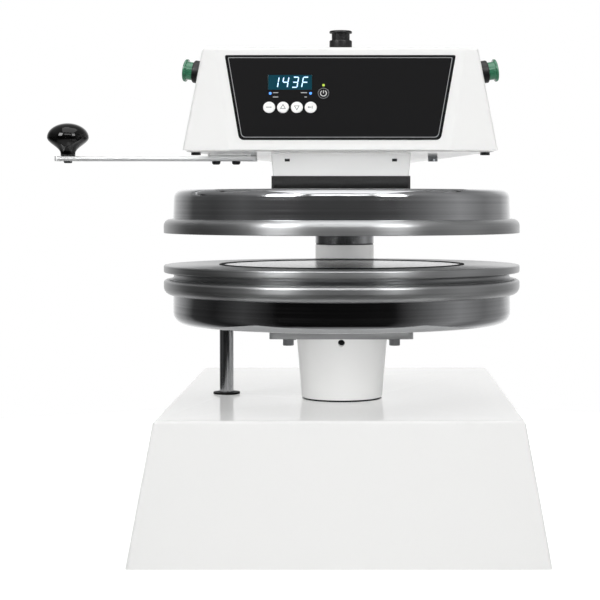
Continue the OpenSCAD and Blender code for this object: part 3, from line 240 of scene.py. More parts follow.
def green_abs(colours):
    """Moulded green ABS with a little depth to its gloss."""
    return finish("moulded_green_abs", colours.green, Roughness=0.22, Coat_Weight=0.5,
                  Coat_Roughness=0.08)


def panel_film(colours):
    """Printed polycarbonate film: black, matt and finely grained."""
    material = finish("black_panel_film", colours.panel, Specular_IOR_Level=0.06)
    return grain(material, 0.9 * MM, (1, 1, 1), 0.002 * MM, 0.42, 0.56)


def insulator_board(colours):
    """Dark heat board, sawn: dull and slightly mottled."""
    material = finish("dark_heat_board", colours.insulator)
    return grain(material, 1.5 * MM, (1, 1, 1), 0.01 * MM, 0.6, 0.8)


def oxide_steel():
    """Blackened steel fasteners: dark metal with a worn satin sheen."""
    material = finish("black_oxide_steel", linear("#4a4b4d"), Metallic=1.0)
    return grain(material, 0.7 * MM, (1, 1, 1), 0.003 * MM, 0.34, 0.5)


def grey_steel():
    """Bare steel socket screws: mid grey metal with a dull sheen."""
    material = finish("bare_grey_steel", linear("#8b8c8e"), Metallic=0.6)
    return grain(material, 0.7 * MM, (1, 1, 1), 0.002 * MM, 0.3, 0.42)


def plated_steel():
    """Zinc plated fasteners: bright grey metal."""
    material = finish("zinc_plated_steel", linear("#b6b9bd"), Metallic=1.0)
    return grain(material, 0.7 * MM, (1, 1, 1), 0.002 * MM, 0.28, 0.4)


def cast_iron():
    """Sand cast iron: rough, dark and dull."""
    material = finish("cast_iron", linear("#47484a"), Metallic=0.6)
    return grain(material, 1.2 * MM, (1, 1, 1), 0.04 * MM, 0.6, 0.75)


def machined_aluminium():
    """Milled aluminium: pale metal with fine tool marks."""
    material = finish("machined_aluminium", linear("#c2c4c6"), Metallic=1.0)
    return grain(material, 0.8 * MM, (1, 0.05, 1), 0.002 * MM, 0.28, 0.4)


def bearing_bronze():
    """Turned bronze: warm metal, satin."""
    material = finish("turned_bronze", linear("#a8803f"), Metallic=1.0)
    return grain(material, 0.8 * MM, (0.05, 0.05, 1), 0.002 * MM, 0.3, 0.42)


def lit(name, base, strength):
    """Lit plastic: its own colour glows."""
    return finish(name, base, Roughness=0.3, Emission_Color=base, Emission_Strength=strength)


# Skins over the solids

MERGE_GAP = 0.002 * MM


def dress(node, material):
    """Gives a solid that keeps its own mesh its finish."""
    solid = NODES[node]
    if not solid.material_slots:
        solid.data.materials.append(material)
    for place in solid.material_slots:
        place.material = material


def settle(piece, body, slot, *nodes):
    """Lets a finished piece ride on its body, and stand for the solids that it copies."""
    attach(piece, body)
    if nodes:
        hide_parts(*nodes)


def skin(node, *materials, choose=None):
    """Smooth-shaded copy of a solid; choose picks the finish of a face from its centre."""
    mesh = NODES[node].data.copy()
    mesh.name = node + "_skin"
    mesh.materials.clear()
    for material in materials:
        mesh.materials.append(material)
    form = bmesh.new()
    form.from_mesh(mesh)
    bmesh.ops.remove_doubles(form, verts=form.verts, dist=MERGE_GAP)
    for face in form.faces:
        face.smooth = True
        face.material_index = choose(face.calc_center_median()) if choose else 0
    form.to_mesh(mesh)
    form.free()
    mesh.set_sharp_from_angle(angle=bpy.context.scene.dough_press_sizes.smooth_angle)
    piece = bpy.data.objects.new(node + "_skin", mesh)
    bpy.context.scene.collection.objects.link(piece)
    weighted = piece.modifiers.new("even faces", "WEIGHTED_NORMAL")
    weighted.keep_sharp = True
    settle(piece, BODY_OF[node], SLOT_OF[node], node)


# Print on the leaning front face of the head

FACE_OUT = -Vector(JOINTS["key_menu_press"]["axis"])
FACE_UP = FACE_OUT.cross(Vector((1, 0, 0)))
COVER_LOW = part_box("head_cover")[0]
FACE_FRAME = Matrix((
    (1, FACE_UP.x, FACE_OUT.x, 0),
    (0, FACE_UP.y, FACE_OUT.y, COVER_LOW.y),
    (0, FACE_UP.z, FACE_OUT.z, COVER_LOW.z),
    (0, 0, 0, 1),
))


def on_face(point):
    """Place in the frame of the head's front face: right, up the face, out."""
    return FACE_FRAME.inverted() @ Vector(point)


def face_box(node):
    """Lowest and highest place of a solid in the frame of the front face."""
    spots = [on_face(v.co) for v in NODES[node].data.vertices]
    return [Vector([pick(s[i] for s in spots) for i in range(3)]) for pick in (min, max)]


def prism(form, outline, low, high):
    """Closed flat prism on the face, from an outline that runs anticlockwise."""
    lower = [form.verts.new(FACE_FRAME @ Vector((u, v, low))) for u, v in outline]
    upper = [form.verts.new(FACE_FRAME @ Vector((u, v, high))) for u, v in outline]
    form.faces.new(upper)
    form.faces.new(lower[::-1])
    for i in range(len(outline)):
        j = (i + 1) % len(outline)
        form.faces.new((lower[i], lower[j], upper[j], upper[i]))


def band(form, outer, inner, low, high):
    """Closed flat band between two outlines with as many points each."""
    rings = []
    for outline, height in ((outer, low), (outer, high), (inner, high), (inner, low)):
        rings.append([form.verts.new(FACE_FRAME @ Vector((u, v, height))) for u, v in outline])
    count = len(outer)
    for a, b in ((0, 1), (1, 2), (2, 3), (3, 0)):
        for i in range(count):
            j = (i + 1) % count
            form.faces.new((rings[a][i], rings[a][j], rings[b][j], rings[b][i]))


def arc(centre, radius, start, end, count):
    """Points along a circle, angles in degrees."""
    steps = [math.radians(start + (end - start) * i / count) for i in range(count + 1)]
    return [(centre[0] + radius * math.cos(t), centre[1] + radius * math.sin(t)) for t in steps]


def stroke(a, b, width):
    """Outline of a straight stroke from a to b."""
    along = Vector((b[0] - a[0], b[1] - a[1])).normalized() * width / 2
    side = Vector((-along.y, along.x))
    start = Vector(a) - along
    end = Vector(b) + along
    return [tuple(p) for p in (start - side, end - side, end + side, start + side)]


def printed(name, draw, material, body, slot):
    """Piece of print that a function draws into an empty mesh."""
    form = bmesh.new()
    draw(form)
    bmesh.ops.recalc_face_normals(form, faces=form.faces)
    mesh = bpy.data.meshes.new(name)
    form.to_mesh(mesh)
    form.free()
    mesh.materials.append(material)
    piece = bpy.data.objects.new(name, mesh)
    bpy.context.scene.collection.objects.link(piece)
    settle(piece, body, slot)


# Shapes of the display digits, as the lit segments of each character
SEGMENTS = {
    "top": ((0, 2), (1, 2)), "high_left": ((0, 1), (0, 2)), "high_right": ((1, 1), (1, 2)),
    "middle": ((0, 1), (1, 1)), "low_left": ((0, 0), (0, 1)), "low_right": ((1, 0), (1, 1)),
    "bottom": ((0, 0), (1, 0)),
}
CHARACTERS = (
    ("high_right", "low_right"),
    ("high_left", "middle", "high_right", "low_right"),
    ("top", "high_right", "middle", "low_right", "bottom"),
    ("top", "high_left", "middle", "low_left"),
)
# Shares of a character's height, of the window's width for the margin, and of a segment's thickness
DIGIT_WIDTH = 0.48
DIGIT_PITCH = 0.92
DIGIT_STROKE = 0.098
DIGIT_MARGIN = 0.115
SEGMENT_GAP = 0.62
SEGMENT_POINT = 0.9


def draw_digits(form, sizes, low, high, surface):
    """Slanted seven-segment characters, set against the right-hand side of the window."""
    height = sizes.digit_height
    wide = DIGIT_WIDTH * height
    pitch = DIGIT_PITCH * height
    thick = DIGIT_STROKE * height
    inset = SEGMENT_GAP * thick
    lean = math.tan(sizes.digit_slant)
    left = high.x - DIGIT_MARGIN * (high.x - low.x) - (len(CHARACTERS) - 1) * pitch - wide
    foot = (low.y + high.y - height) / 2

    def spot(column, x, y, gap):
        v = y * height / 2
        return left + column * pitch + x * wide + v * lean + gap[0], foot + v + gap[1]

    for column, lit_segments in enumerate(CHARACTERS):
        for segment in lit_segments:
            a, b = SEGMENTS[segment]
            level = a[1] == b[1]
            gap = (inset, 0) if level else (inset * lean, inset)
            first = Vector(spot(column, *a, gap))
            last = Vector(spot(column, *b, (-gap[0], -gap[1])))
            point = (last - first).normalized() * thick / 2 * SEGMENT_POINT
            across = Vector((0, thick / 2)) if level else Vector((thick / 2, 0))
            outline = [first - point, first - across, last - across,
                       last + point, last + across, first + across]
            if not level:
                outline = outline[::-1]
            prism(form, [tuple(p) for p in outline], surface, surface + sizes.print_height)


# Panel corners: their radii, and how far from the panel's ends its sides run straight
PANEL_LOW_RADIUS = 5.5 * MM
PANEL_TOP_RADIUS = 1.2 * MM
PANEL_LOW_END = 8 * MM
PANEL_TOP_END = 3 * MM


def panel_outline(inset, steps=6):
    """Outline of the control panel, drawn in by a distance, with round corners."""
    low, high = face_box("control_panel")
    spots = [on_face(v.co) for v in NODES["control_panel"].data.vertices]
    low_half = max(s.x for s in spots if s.y < low.y + PANEL_LOW_END)
    top_half = max(s.x for s in spots if s.y > high.y - PANEL_TOP_END)
    tall = high.y - low.y
    slope = (top_half - low_half) / (tall - PANEL_LOW_END)
    secant = math.hypot(1, slope)
    foot = low.y + inset
    head = high.y - inset

    def half(v):
        return low_half + slope * (v - low.y - PANEL_LOW_END) - inset * secant

    corners = [(-half(foot), foot, PANEL_LOW_RADIUS), (half(foot), foot, PANEL_LOW_RADIUS),
               (half(head), head, PANEL_TOP_RADIUS), (-half(head), head, PANEL_TOP_RADIUS)]
    outline = []
    for i, (x, y, radius) in enumerate(corners):
        here = Vector((x, y))
        back = (Vector(corners[i - 1][:2]) - here).normalized()
        ahead = (Vector(corners[(i + 1) % 4][:2]) - here).normalized()
        half_angle = back.angle(ahead) / 2
        middle = here + (back + ahead).normalized() * radius / math.sin(half_angle)
        first = here + back * radius / math.tan(half_angle) - middle
        turn = math.pi - 2 * half_angle
        start = math.atan2(first.y, first.x)
        outline += [(middle.x + radius * math.cos(start + turn * k / steps),
                     middle.y + radius * math.sin(start + turn * k / steps)) for k in range(steps + 1)]
    return outline


# Ridges round the heads of the bracket bolts

def knurl_tree():
    """Geometry nodes: a ring of upright ridges on every point of the input mesh."""
    tree = bpy.data.node_groups.new("knurled heads", "GeometryNodeTree")
    sockets = (("Geometry", "NodeSocketGeometry"), ("Radius", "NodeSocketFloat"),
               ("Ridges", "NodeSocketInt"), ("Ridge size", "NodeSocketVector"),
               ("Material", "NodeSocketMaterial"))
    for name, kind in sockets:
        tree.interface.new_socket(name, in_out="INPUT", socket_type=kind)
    tree.interface.new_socket("Geometry", in_out="OUTPUT", socket_type="NodeSocketGeometry")
    given = add_node(tree, "NodeGroupInput")
    ring = add_node(tree, "GeometryNodeMeshCircle", None,
                    {"Vertices": given.outputs["Ridges"], "Radius": given.outputs["Radius"]})
    ridge = add_node(tree, "GeometryNodeMeshCube", None, {"Size": given.outputs["Ridge size"]})
    place = add_node(tree, "GeometryNodeInputPosition")
    facing = add_node(tree, "FunctionNodeAlignRotationToVector", {"axis": "X"},
                      {"Vector": place.outputs["Position"]})
    collar = add_node(tree, "GeometryNodeInstanceOnPoints", None,
                      {"Points": ring.outputs["Mesh"], "Instance": ridge.outputs["Mesh"],
                       "Rotation": facing.outputs["Rotation"]})
    heads = add_node(tree, "GeometryNodeInstanceOnPoints", None,
                     {"Points": given.outputs["Geometry"], "Instance": collar.outputs["Instances"]})
    solid = add_node(tree, "GeometryNodeRealizeInstances", None,
                     {"Geometry": heads.outputs["Instances"]})
    painted = add_node(tree, "GeometryNodeSetMaterial", None,
                       {"Geometry": solid.outputs["Geometry"], "Material": given.outputs["Material"]})
    add_node(tree, "NodeGroupOutput", None, {"Geometry": painted.outputs["Geometry"]})
    return tree


def grown(name, points, tree, values, body, slot):
    """Plain mesh of what a node tree grows on points; the modifier is gone before it rides."""
    seed = bpy.data.meshes.new(name + "_points")
    seed.from_pydata(points, [], [])
    carrier = bpy.data.objects.new(name + "_carrier", seed)
    bpy.context.scene.collection.objects.link(carrier)
    modifier = carrier.modifiers.new(name, "NODES")
    modifier.node_group = tree
    for item in tree.interface.items_tree:
        if item.item_type == "SOCKET" and item.in_out == "INPUT" and item.name in values:
            modifier[item.identifier] = values[item.name]
    graph = bpy.context.evaluated_depsgraph_get()
    mesh = bpy.data.meshes.new_from_object(carrier.evaluated_get(graph))
    mesh.name = name
    carrier.modifiers.remove(modifier)
    bpy.data.objects.remove(carrier)
    piece = bpy.data.objects.new(name, mesh)
    bpy.context.scene.collection.objects.link(piece)
    settle(piece, body, slot)


# Operators, one for each group of pieces

class PressOperator:
    """Shared settings of the operators."""
    bl_options = {"REGISTER", "UNDO"}

    @staticmethod
    def colours(context):
        """Colours of the scene."""
        return context.scene.dough_press_colours

    @staticmethod
    def sizes(context):
        """Sizes of the scene."""
        return context.scene.dough_press_sizes


class DOUGHPRESS_OT_base(PressOperator, bpy.types.Operator):
    """Finish the base, its floor, its screws and the inlets at the rear"""
    bl_idname = "dough_press.base"
    bl_label = "Base"

    def execute(self, context):
        colours = self.colours(context)
        skin("base_housing", powder_coat(colours))
        dark = finish("dark_floor_paint", linear("#3a3a3b"), Roughness=0.5)
        dress("base_floor", dark)
        skin("base_screws", plated_steel())
        skin("air_inlet", bearing_bronze())
        skin("power_inlet", satin_black())
        skin("guide_bush", dull_black())
        return {"FINISHED"}


class DOUGHPRESS_OT_column(PressOperator, bpy.types.Operator):
    """Finish the column, its swivel joint and the shaft inside it"""
    bl_idname = "dough_press.column"
    bl_label = "Column"

    def execute(self, context):
        colours = self.colours(context)
        skin("column_tube", powder_coat(colours))
        skin("shaft_sleeve", ground_steel(colours))
        skin("thrust_washer", oxide_steel())
        skin("swing_bushes", bearing_bronze())
        skin("swing_shaft", ground_steel(colours))
        skin("shaft_retainer", cast_iron())
        skin("column_foot", cast_iron())
        skin("column_bolts", plated_steel())
        return {"FINISHED"}


# Height above the base at which the hub's cone ends and its shank begins; the shank is drawn satin black
# as painted shade in the gap at the hub's foot
HUB_LIP = 2.0 * MM
# Slack when a face is sorted by its place
EDGE_SLACK = 0.3 * MM
# Ridges on a bracket bolt: head radius, ridge depth, and shares of the pitch and of the head's height
BOLT_HEAD_RADIUS = 6.75 * MM
RIDGE_DEPTH = 0.7 * MM
RIDGE_SHARE = 0.5
RIDGE_TALL = 0.86


class DOUGHPRESS_OT_lift(PressOperator, bpy.types.Operator):
    """Finish the hub, bracket, guide rod and air cylinder"""
    bl_idname = "dough_press.lift"
    bl_label = "Lift"

    def execute(self, context):
        colours = self.colours(context)
        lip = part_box("base_housing")[1].z + HUB_LIP

        def hub_finish_painted_shade(centre):
            return int(centre.z < lip - EDGE_SLACK)

        # Faces below the lip take satin black: painted shade at the hub's foot
        skin("lift_hub", powder_coat(colours), satin_black(), choose=hub_finish_painted_shade)
        skin("hub_set_screw", satin_black())
        bracket = grain(finish("milled_grey_steel", linear("#a6a7a8"), Metallic=0.5),
                        1.0 * MM, (1, 0.05, 1), 0.002 * MM, 0.34, 0.46)
        skin("platen_bracket", bracket)
        skin("bracket_bolts", grey_steel())
        skin("guide_rod", ground_steel(colours))
        skin("piston_rod", ground_steel(colours))
        for node in ("cylinder_lower_cap", "cylinder_upper_cap", "piston", "cylinder_barrel"):
            skin(node, machined_aluminium())
        skin("cylinder_tie_rods", plated_steel())
        rubber = finish("black_seal_rubber", linear("#171717"), Roughness=0.7)
        skin("piston_seal", rubber)
        skin("air_valve", satin_black())
        skin("air_tubes", satin_black())
        self.knurl(self.sizes(context))
        return {"FINISHED"}

    def knurl(self, sizes):
        """Ridges on the four bracket bolt heads."""
        low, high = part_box("bracket_bolts")
        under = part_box("platen_bracket")[0].z
        radius = BOLT_HEAD_RADIUS
        depth = under - low.z
        across = ((low.x + radius, high.x - radius), (low.y + radius, high.y - radius))
        spots = [(x, y, under - depth / 2) for x in across[0] for y in across[1]]
        width = 2 * math.pi * radius / sizes.knurl_count * RIDGE_SHARE
        values = {"Radius": radius, "Ridges": sizes.knurl_count, "Material": grey_steel(),
                  "Ridge size": (RIDGE_DEPTH, width, depth * RIDGE_TALL)}
        grown("bracket_bolt_knurls", spots, knurl_tree(), values, "lift", SLOT_OF["bracket_bolts"])


# Raised ring of the lower plate, and depths below the top within which a face counts as rim or ring. The
# ring is drawn dull black, which gives a dark line round the working face
RING_INSIDE = 157 * MM
RING_OUTSIDE = 163 * MM
RING_SLACK = 0.2 * MM
RING_DEPTH = 2 * MM
RIM_DEPTH = 1 * MM


class DOUGHPRESS_OT_platens(PressOperator, bpy.types.Operator):
    """Finish the lower pan and plate, and the upper plate and its cover"""
    bl_idname = "dough_press.platens"
    bl_label = "Platens"

    def execute(self, context):
        colours = self.colours(context)
        polished = polished_sheet(colours)
        spun = spun_metal(colours)
        pan_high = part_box("lower_platen_pan")[1].z
        body_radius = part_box("upper_platen_cover")[1].x

        def pan_finish(centre):
            return int(centre.xy.length > body_radius + EDGE_SLACK or centre.z > pan_high - RIM_DEPTH)

        skin("lower_platen_pan", polished, spun, choose=pan_finish)
        ring_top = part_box("lower_platen_plate")[1].z

        def plate_finish(centre):
            radius = centre.xy.length
            if radius > RING_OUTSIDE + RING_SLACK or centre.z < ring_top - RING_DEPTH:
                return 0
            return 1 if radius < RING_INSIDE - RING_SLACK else 2

        # The raised ring takes the dull black finish, drawn as a dark line round the working face; what
        # makes that line on the real plate is not known
        skin("lower_platen_plate", spun, lapped_plate(colours), dull_black(), choose=plate_finish)
        skin("upper_platen_plate", spun)
        skin("upper_platen_cover", polished)
        heater = finish("oxidised_heater_sheath", linear("#5b5753"), Metallic=1.0, Roughness=0.5)
        skin("heater_element", heater)
        skin("temperature_probe", plated_steel())
        skin("platen_studs", plated_steel())
        return {"FINISHED"}


# The arm's bolts lie within this half width and in front of this line
ARM_BOLT_HALF = 130 * MM
ARM_BOLT_REAR = 100 * MM


class DOUGHPRESS_OT_head(PressOperator, bpy.types.Operator):
    """Finish the head's cover, floor, neck and insulator, and the arm inside"""
    bl_idname = "dough_press.head"
    bl_label = "Head"

    def execute(self, context):
        colours = self.colours(context)
        for node in ("head_cover", "head_floor", "neck_housing"):
            skin(node, powder_coat(colours))
        skin("insulator_block", insulator_board(colours))
        skin("head_bolts", oxide_steel(), plated_steel(), choose=self.bolt_finish)
        skin("head_arm", cast_iron())
        skin("platen_hanger", cast_iron())
        return {"FINISHED"}

    @staticmethod
    def bolt_finish(centre):
        """Plated bolts carry the arm, near the middle; blackened ones hold the floor at its corners."""
        return int(abs(centre.x) < ARM_BOLT_HALF and centre.y < ARM_BOLT_REAR)


# Marks beside the lamps: width, distance from the window's ends, and rows as drop, left and right length
MARK_WIDTH = 1.0 * MM
MARK_MARGIN = 6.5 * MM
MARK_ROWS = ((4.0 * MM, 5.5 * MM, 6.5 * MM), (9.6 * MM, 5.5 * MM, 2.0 * MM))
# Symbols on the keys
KEY_LINE = 0.9 * MM
BAR_STARTS = (-3.1 * MM, -0.9 * MM, 1.3 * MM)
BAR_LENGTH = 1.2 * MM
TRIANGLE_RADIUS = 4.0 * MM
TRIANGLE_RIM = 1.5 * KEY_LINE
ARROW_REACH = 1.9 * MM
ARROW_SHAFT = 0.4 * MM
ARROW_STOP = 1.4 * MM
ARROW_STOP_WIDTH = 0.7 * MM
ARROW_WING = 1.5 * MM
ARROW_POINT = 1.7 * MM
POWER_RING = (6.9 * MM, 6.2 * MM)
POWER_RING_POINTS = 48
POWER_ARC = (4.2 * MM, 3.1 * MM)
POWER_ARC_ENDS = (120, 420)
POWER_ARC_STEPS = 30
POWER_BAR = (0.4 * MM, 3.4 * MM)
POWER_BAR_WIDTH = 1.0 * MM


class DOUGHPRESS_OT_panel(PressOperator, bpy.types.Operator):
    """Finish the control panel, its display, lamps and keys, and print its marks"""
    bl_idname = "dough_press.panel"
    bl_label = "Control panel"

    def execute(self, context):
        colours = self.colours(context)
        skin("control_panel", panel_film(colours))
        window = finish("tinted_display_window", colours.window, Roughness=0.16, Specular_IOR_Level=0.03)
        skin("display_window", window)
        self.lamps()
        board = finish("green_circuit_board", linear("#1d5b3a"), Roughness=0.5)
        skin("control_board", board)
        white = finish("white_key_abs", linear("#f4f4f2"), Roughness=0.4)
        for node in ("key_menu", "key_up", "key_down", "key_enter"):
            skin(node, white)
        skin("key_power", panel_film(colours))
        self.print_panel(colours, self.sizes(context))
        self.print_keys(self.sizes(context))
        return {"FINISHED"}

    def lamps(self):
        """Two blue lamps under the display and a green one over the power key."""
        blue = lit("blue_lamp_lens", linear("#4f9bff"), 0.9)
        green = lit("green_lamp_lens", linear("#a9c23c"), 0.7)
        split = (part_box("indicator_lamps")[1].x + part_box("display_window")[1].x) / 2
        skin("indicator_lamps", blue, green, choose=lambda centre: int(centre.x > split))

    def print_panel(self, colours, sizes):
        """Line round the panel, display digits and the small marks beside the lamps."""
        top = face_box("control_panel")[1].z
        grey = finish("grey_panel_ink", linear("#8f9092"), Roughness=0.5)
        pale = finish("pale_panel_ink", linear("#b9babb"), Roughness=0.5)
        glow = lit("lit_display_segments", colours.digits, 1.0)
        over = top + sizes.print_height

        def line(form):
            band(form, panel_outline(sizes.inset), panel_outline(sizes.inset + sizes.line), top, over)

        printed("panel_line", line, grey, "head", "panel_film")
        low, high = face_box("display_window")

        def digits(form):
            draw_digits(form, sizes, low, high, high.z)

        printed("display_digits", digits, glow, "head", "display_plastic")

        def marks(form):
            left = low.x + MARK_MARGIN
            right = high.x - MARK_MARGIN
            for drop, left_length, right_length in MARK_ROWS:
                v = low.y - drop
                prism(form, stroke((left, v), (left + left_length, v), MARK_WIDTH), top, over)
                prism(form, stroke((right - right_length, v), (right, v), MARK_WIDTH), top, over)

        printed("lamp_marks", marks, pale, "head", "panel_film")

    def print_keys(self, sizes):
        """Symbols on the keys: bars, triangles, an arrow and the power ring."""
        ink = finish("dark_key_ink", linear("#6d7073"), Roughness=0.5)
        pale = finish("pale_key_ink", linear("#c9caca"), Roughness=0.5)
        grey = finish("grey_key_ink", linear("#6f7174"), Roughness=0.5)

        def middle(node):
            low, high = face_box(node)
            return Vector(((low.x + high.x) / 2, (low.y + high.y) / 2)), high.z

        def bars(form):
            centre, top = middle("key_menu")
            over = top + sizes.print_height
            for start in BAR_STARTS:
                a = (centre.x + start, centre.y)
                prism(form, stroke(a, (a[0] + BAR_LENGTH, a[1]), KEY_LINE), top, over)

        def triangle(node, way):
            def draw(form):
                centre, top = middle(node)
                rings = []
                for radius in (TRIANGLE_RADIUS, TRIANGLE_RADIUS - TRIANGLE_RIM):
                    rings.append([(centre.x + radius * math.cos(math.radians(90 * way + 120 * i)),
                                   centre.y + radius * math.sin(math.radians(90 * way + 120 * i)))
                                  for i in range(3)])
                band(form, rings[0], rings[1], top, top + sizes.print_height)
            return draw

        def arrow(form):
            centre, top = middle("key_enter")
            over = top + sizes.print_height
            left = centre.x - ARROW_REACH
            shaft = stroke((left, centre.y), (centre.x + ARROW_SHAFT, centre.y), KEY_LINE)
            prism(form, shaft, top, over)
            right = centre.x + ARROW_REACH
            stop = stroke((right, centre.y - ARROW_STOP), (right, centre.y + ARROW_STOP),
                          ARROW_STOP_WIDTH)
            prism(form, stop, top, over)
            tip = [(left, centre.y + ARROW_WING), (left - ARROW_POINT, centre.y),
                   (left, centre.y - ARROW_WING)]
            prism(form, tip, top, over)

        def power_ring(form):
            centre, top = middle("key_power")
            end = 360 - 360 / POWER_RING_POINTS
            outer, inner = (arc(centre, radius, 0, end, POWER_RING_POINTS - 1) for radius in POWER_RING)
            band(form, outer, inner, top, top + sizes.print_height)

        def power_sign(form):
            centre, top = middle("key_power")
            over = top + sizes.print_height
            start, end = POWER_ARC_ENDS
            outer = arc(centre, POWER_ARC[0], start, end, POWER_ARC_STEPS)
            inner = arc(centre, POWER_ARC[1], end, start, POWER_ARC_STEPS)
            prism(form, outer + inner, top, over)
            low, high = (centre.y + rise for rise in POWER_BAR)
            prism(form, stroke((centre.x, low), (centre.x, high), POWER_BAR_WIDTH), top, over)

        printed("key_menu_sign", bars, ink, "key_menu", "key_white")
        printed("key_up_sign", triangle("key_up", 1), ink, "key_up", "key_white")
        printed("key_down_sign", triangle("key_down", -1), ink, "key_down", "key_white")
        printed("key_enter_sign", arrow, ink, "key_enter", "key_white")
        printed("key_power_ring", power_ring, grey, "key_power", "panel_film")
        printed("key_power_sign", power_sign, pale, "key_power", "panel_film")


class DOUGHPRESS_OT_buttons(PressOperator, bpy.types.Operator):
    """Finish the palm buttons, the top button, their bezels and contacts"""
    bl_idname = "dough_press.buttons"
    bl_label = "Push buttons"

    def execute(self, context):
        colours = self.colours(context)
        skin("button_bezels", satin_black())
        skin("button_contacts", satin_black())
        skin("left_palm_button", green_abs(colours))
        skin("right_palm_button", green_abs(colours))
        skin("top_button", satin_black())
        return {"FINISHED"}


class DOUGHPRESS_OT_handle(PressOperator, bpy.types.Operator):
    """Finish the handle bar, its spacer and bolts, and the knob"""
    bl_idname = "dough_press.handle"
    bl_label = "Handle"

    def execute(self, context):
        colours = self.colours(context)
        bar = grain(finish("zinc_plated_bar", linear("#e8e9e9"), Metallic=0.4),
                    0.9 * MM, (0.05, 1, 1), 0.002 * MM, 0.34, 0.46)
        skin("handle_bar", bar)
        skin("handle_spacer", bar)
        skin("handle_bolts", oxide_steel())
        skin("handle_knob", gloss_black(colours))
        return {"FINISHED"}


# Stage

CAMERA_PLACE = (0.0309, -2.2402, 0.4321)
CAMERA_PITCH = math.radians(90 - 1.266)
CAMERA_LENS = 100.82
CAMERA_SHIFT = (-0.1085, -0.10)
SENSOR_WIDTH = 36
CLIP_END = 50
FLOOR_RADIUS = 1.3
FLOOR_SIDES = 96
# The floor's own white near the press, and the distances over which it rises to full white
FLOOR_GLOW = 0.55
FLOOR_SHADE = (0.45, 0.85)
LOOK_AT = Vector((0, 0, 0.5))
# Softboxes: name, place, width, height, power in watts, beam in degrees, and what it gives:
# gloss is highlights alone, paint is light alone, shade is light alone and without shadows
SOFTBOXES = (
    ("left_softbox", (-1.60, -1.91, 1.7), 0.9, 1.2, 40, 180, "gloss"),
    ("right_softbox", (1.43, -2.05, 1.7), 0.8, 1.2, 25, 180, "gloss"),
    ("top_softbox", (0.0, -2.2, 1.75), 1.6, 0.6, 9.5, 180, "gloss"),
    ("ceiling_softbox", (0.0, -0.5, 2.6), 2.2, 2.2, 24, 180, "gloss"),
    ("overhead_fill", (0.0, -0.8, 2.8), 2.2, 1.8, 46, 180, "shade"),
    ("low_key", (0.0, -2.8, 1.15), 1.4, 0.5, 12.5, 180, "paint"),
    ("left_fill", (-1.8, -0.9, 0.3), 0.8, 0.8, 2.6, 180, "paint"),
    ("right_fill", (1.8, -0.9, 0.3), 0.8, 0.8, 3.0, 180, "paint"),
    ("front_fill", (0.0, -3.4, 0.5), 1.6, 0.6, 3.4, 50, "paint"),
)
# Room seen in the metal: place round the compass from the back, left, front and right, and brightness
ROOM = (
    (0.0, 1.1), (0.035, 1.0), (0.07, 0.7), (0.12, 0.4), (0.17, 0.05), (0.24, 0.02), (0.31, 0.08),
    (0.38, 0.004), (0.60, 0.008), (0.66, 0.16), (0.74, 0.40), (0.81, 0.24), (0.88, 0.4), (0.93, 0.8),
    (0.965, 1.0), (1.0, 1.1),
)
# Spans are of a direction's upward part, or backward part for the fill
ROOM_RISE = 0.09
ROOM_RISE_SPAN = (-0.05, 0.1)
ROOM_FLOOR = 0.5
ROOM_FLOOR_SPAN = (-0.75, -0.95)
CEILING_LIGHT = 0.35
CEILING_SPAN = (0.3, 0.75)
FILL_FRONT = 0.0
FILL_BACK = 0.7
FILL_SPAN = (-0.45, 0.3)


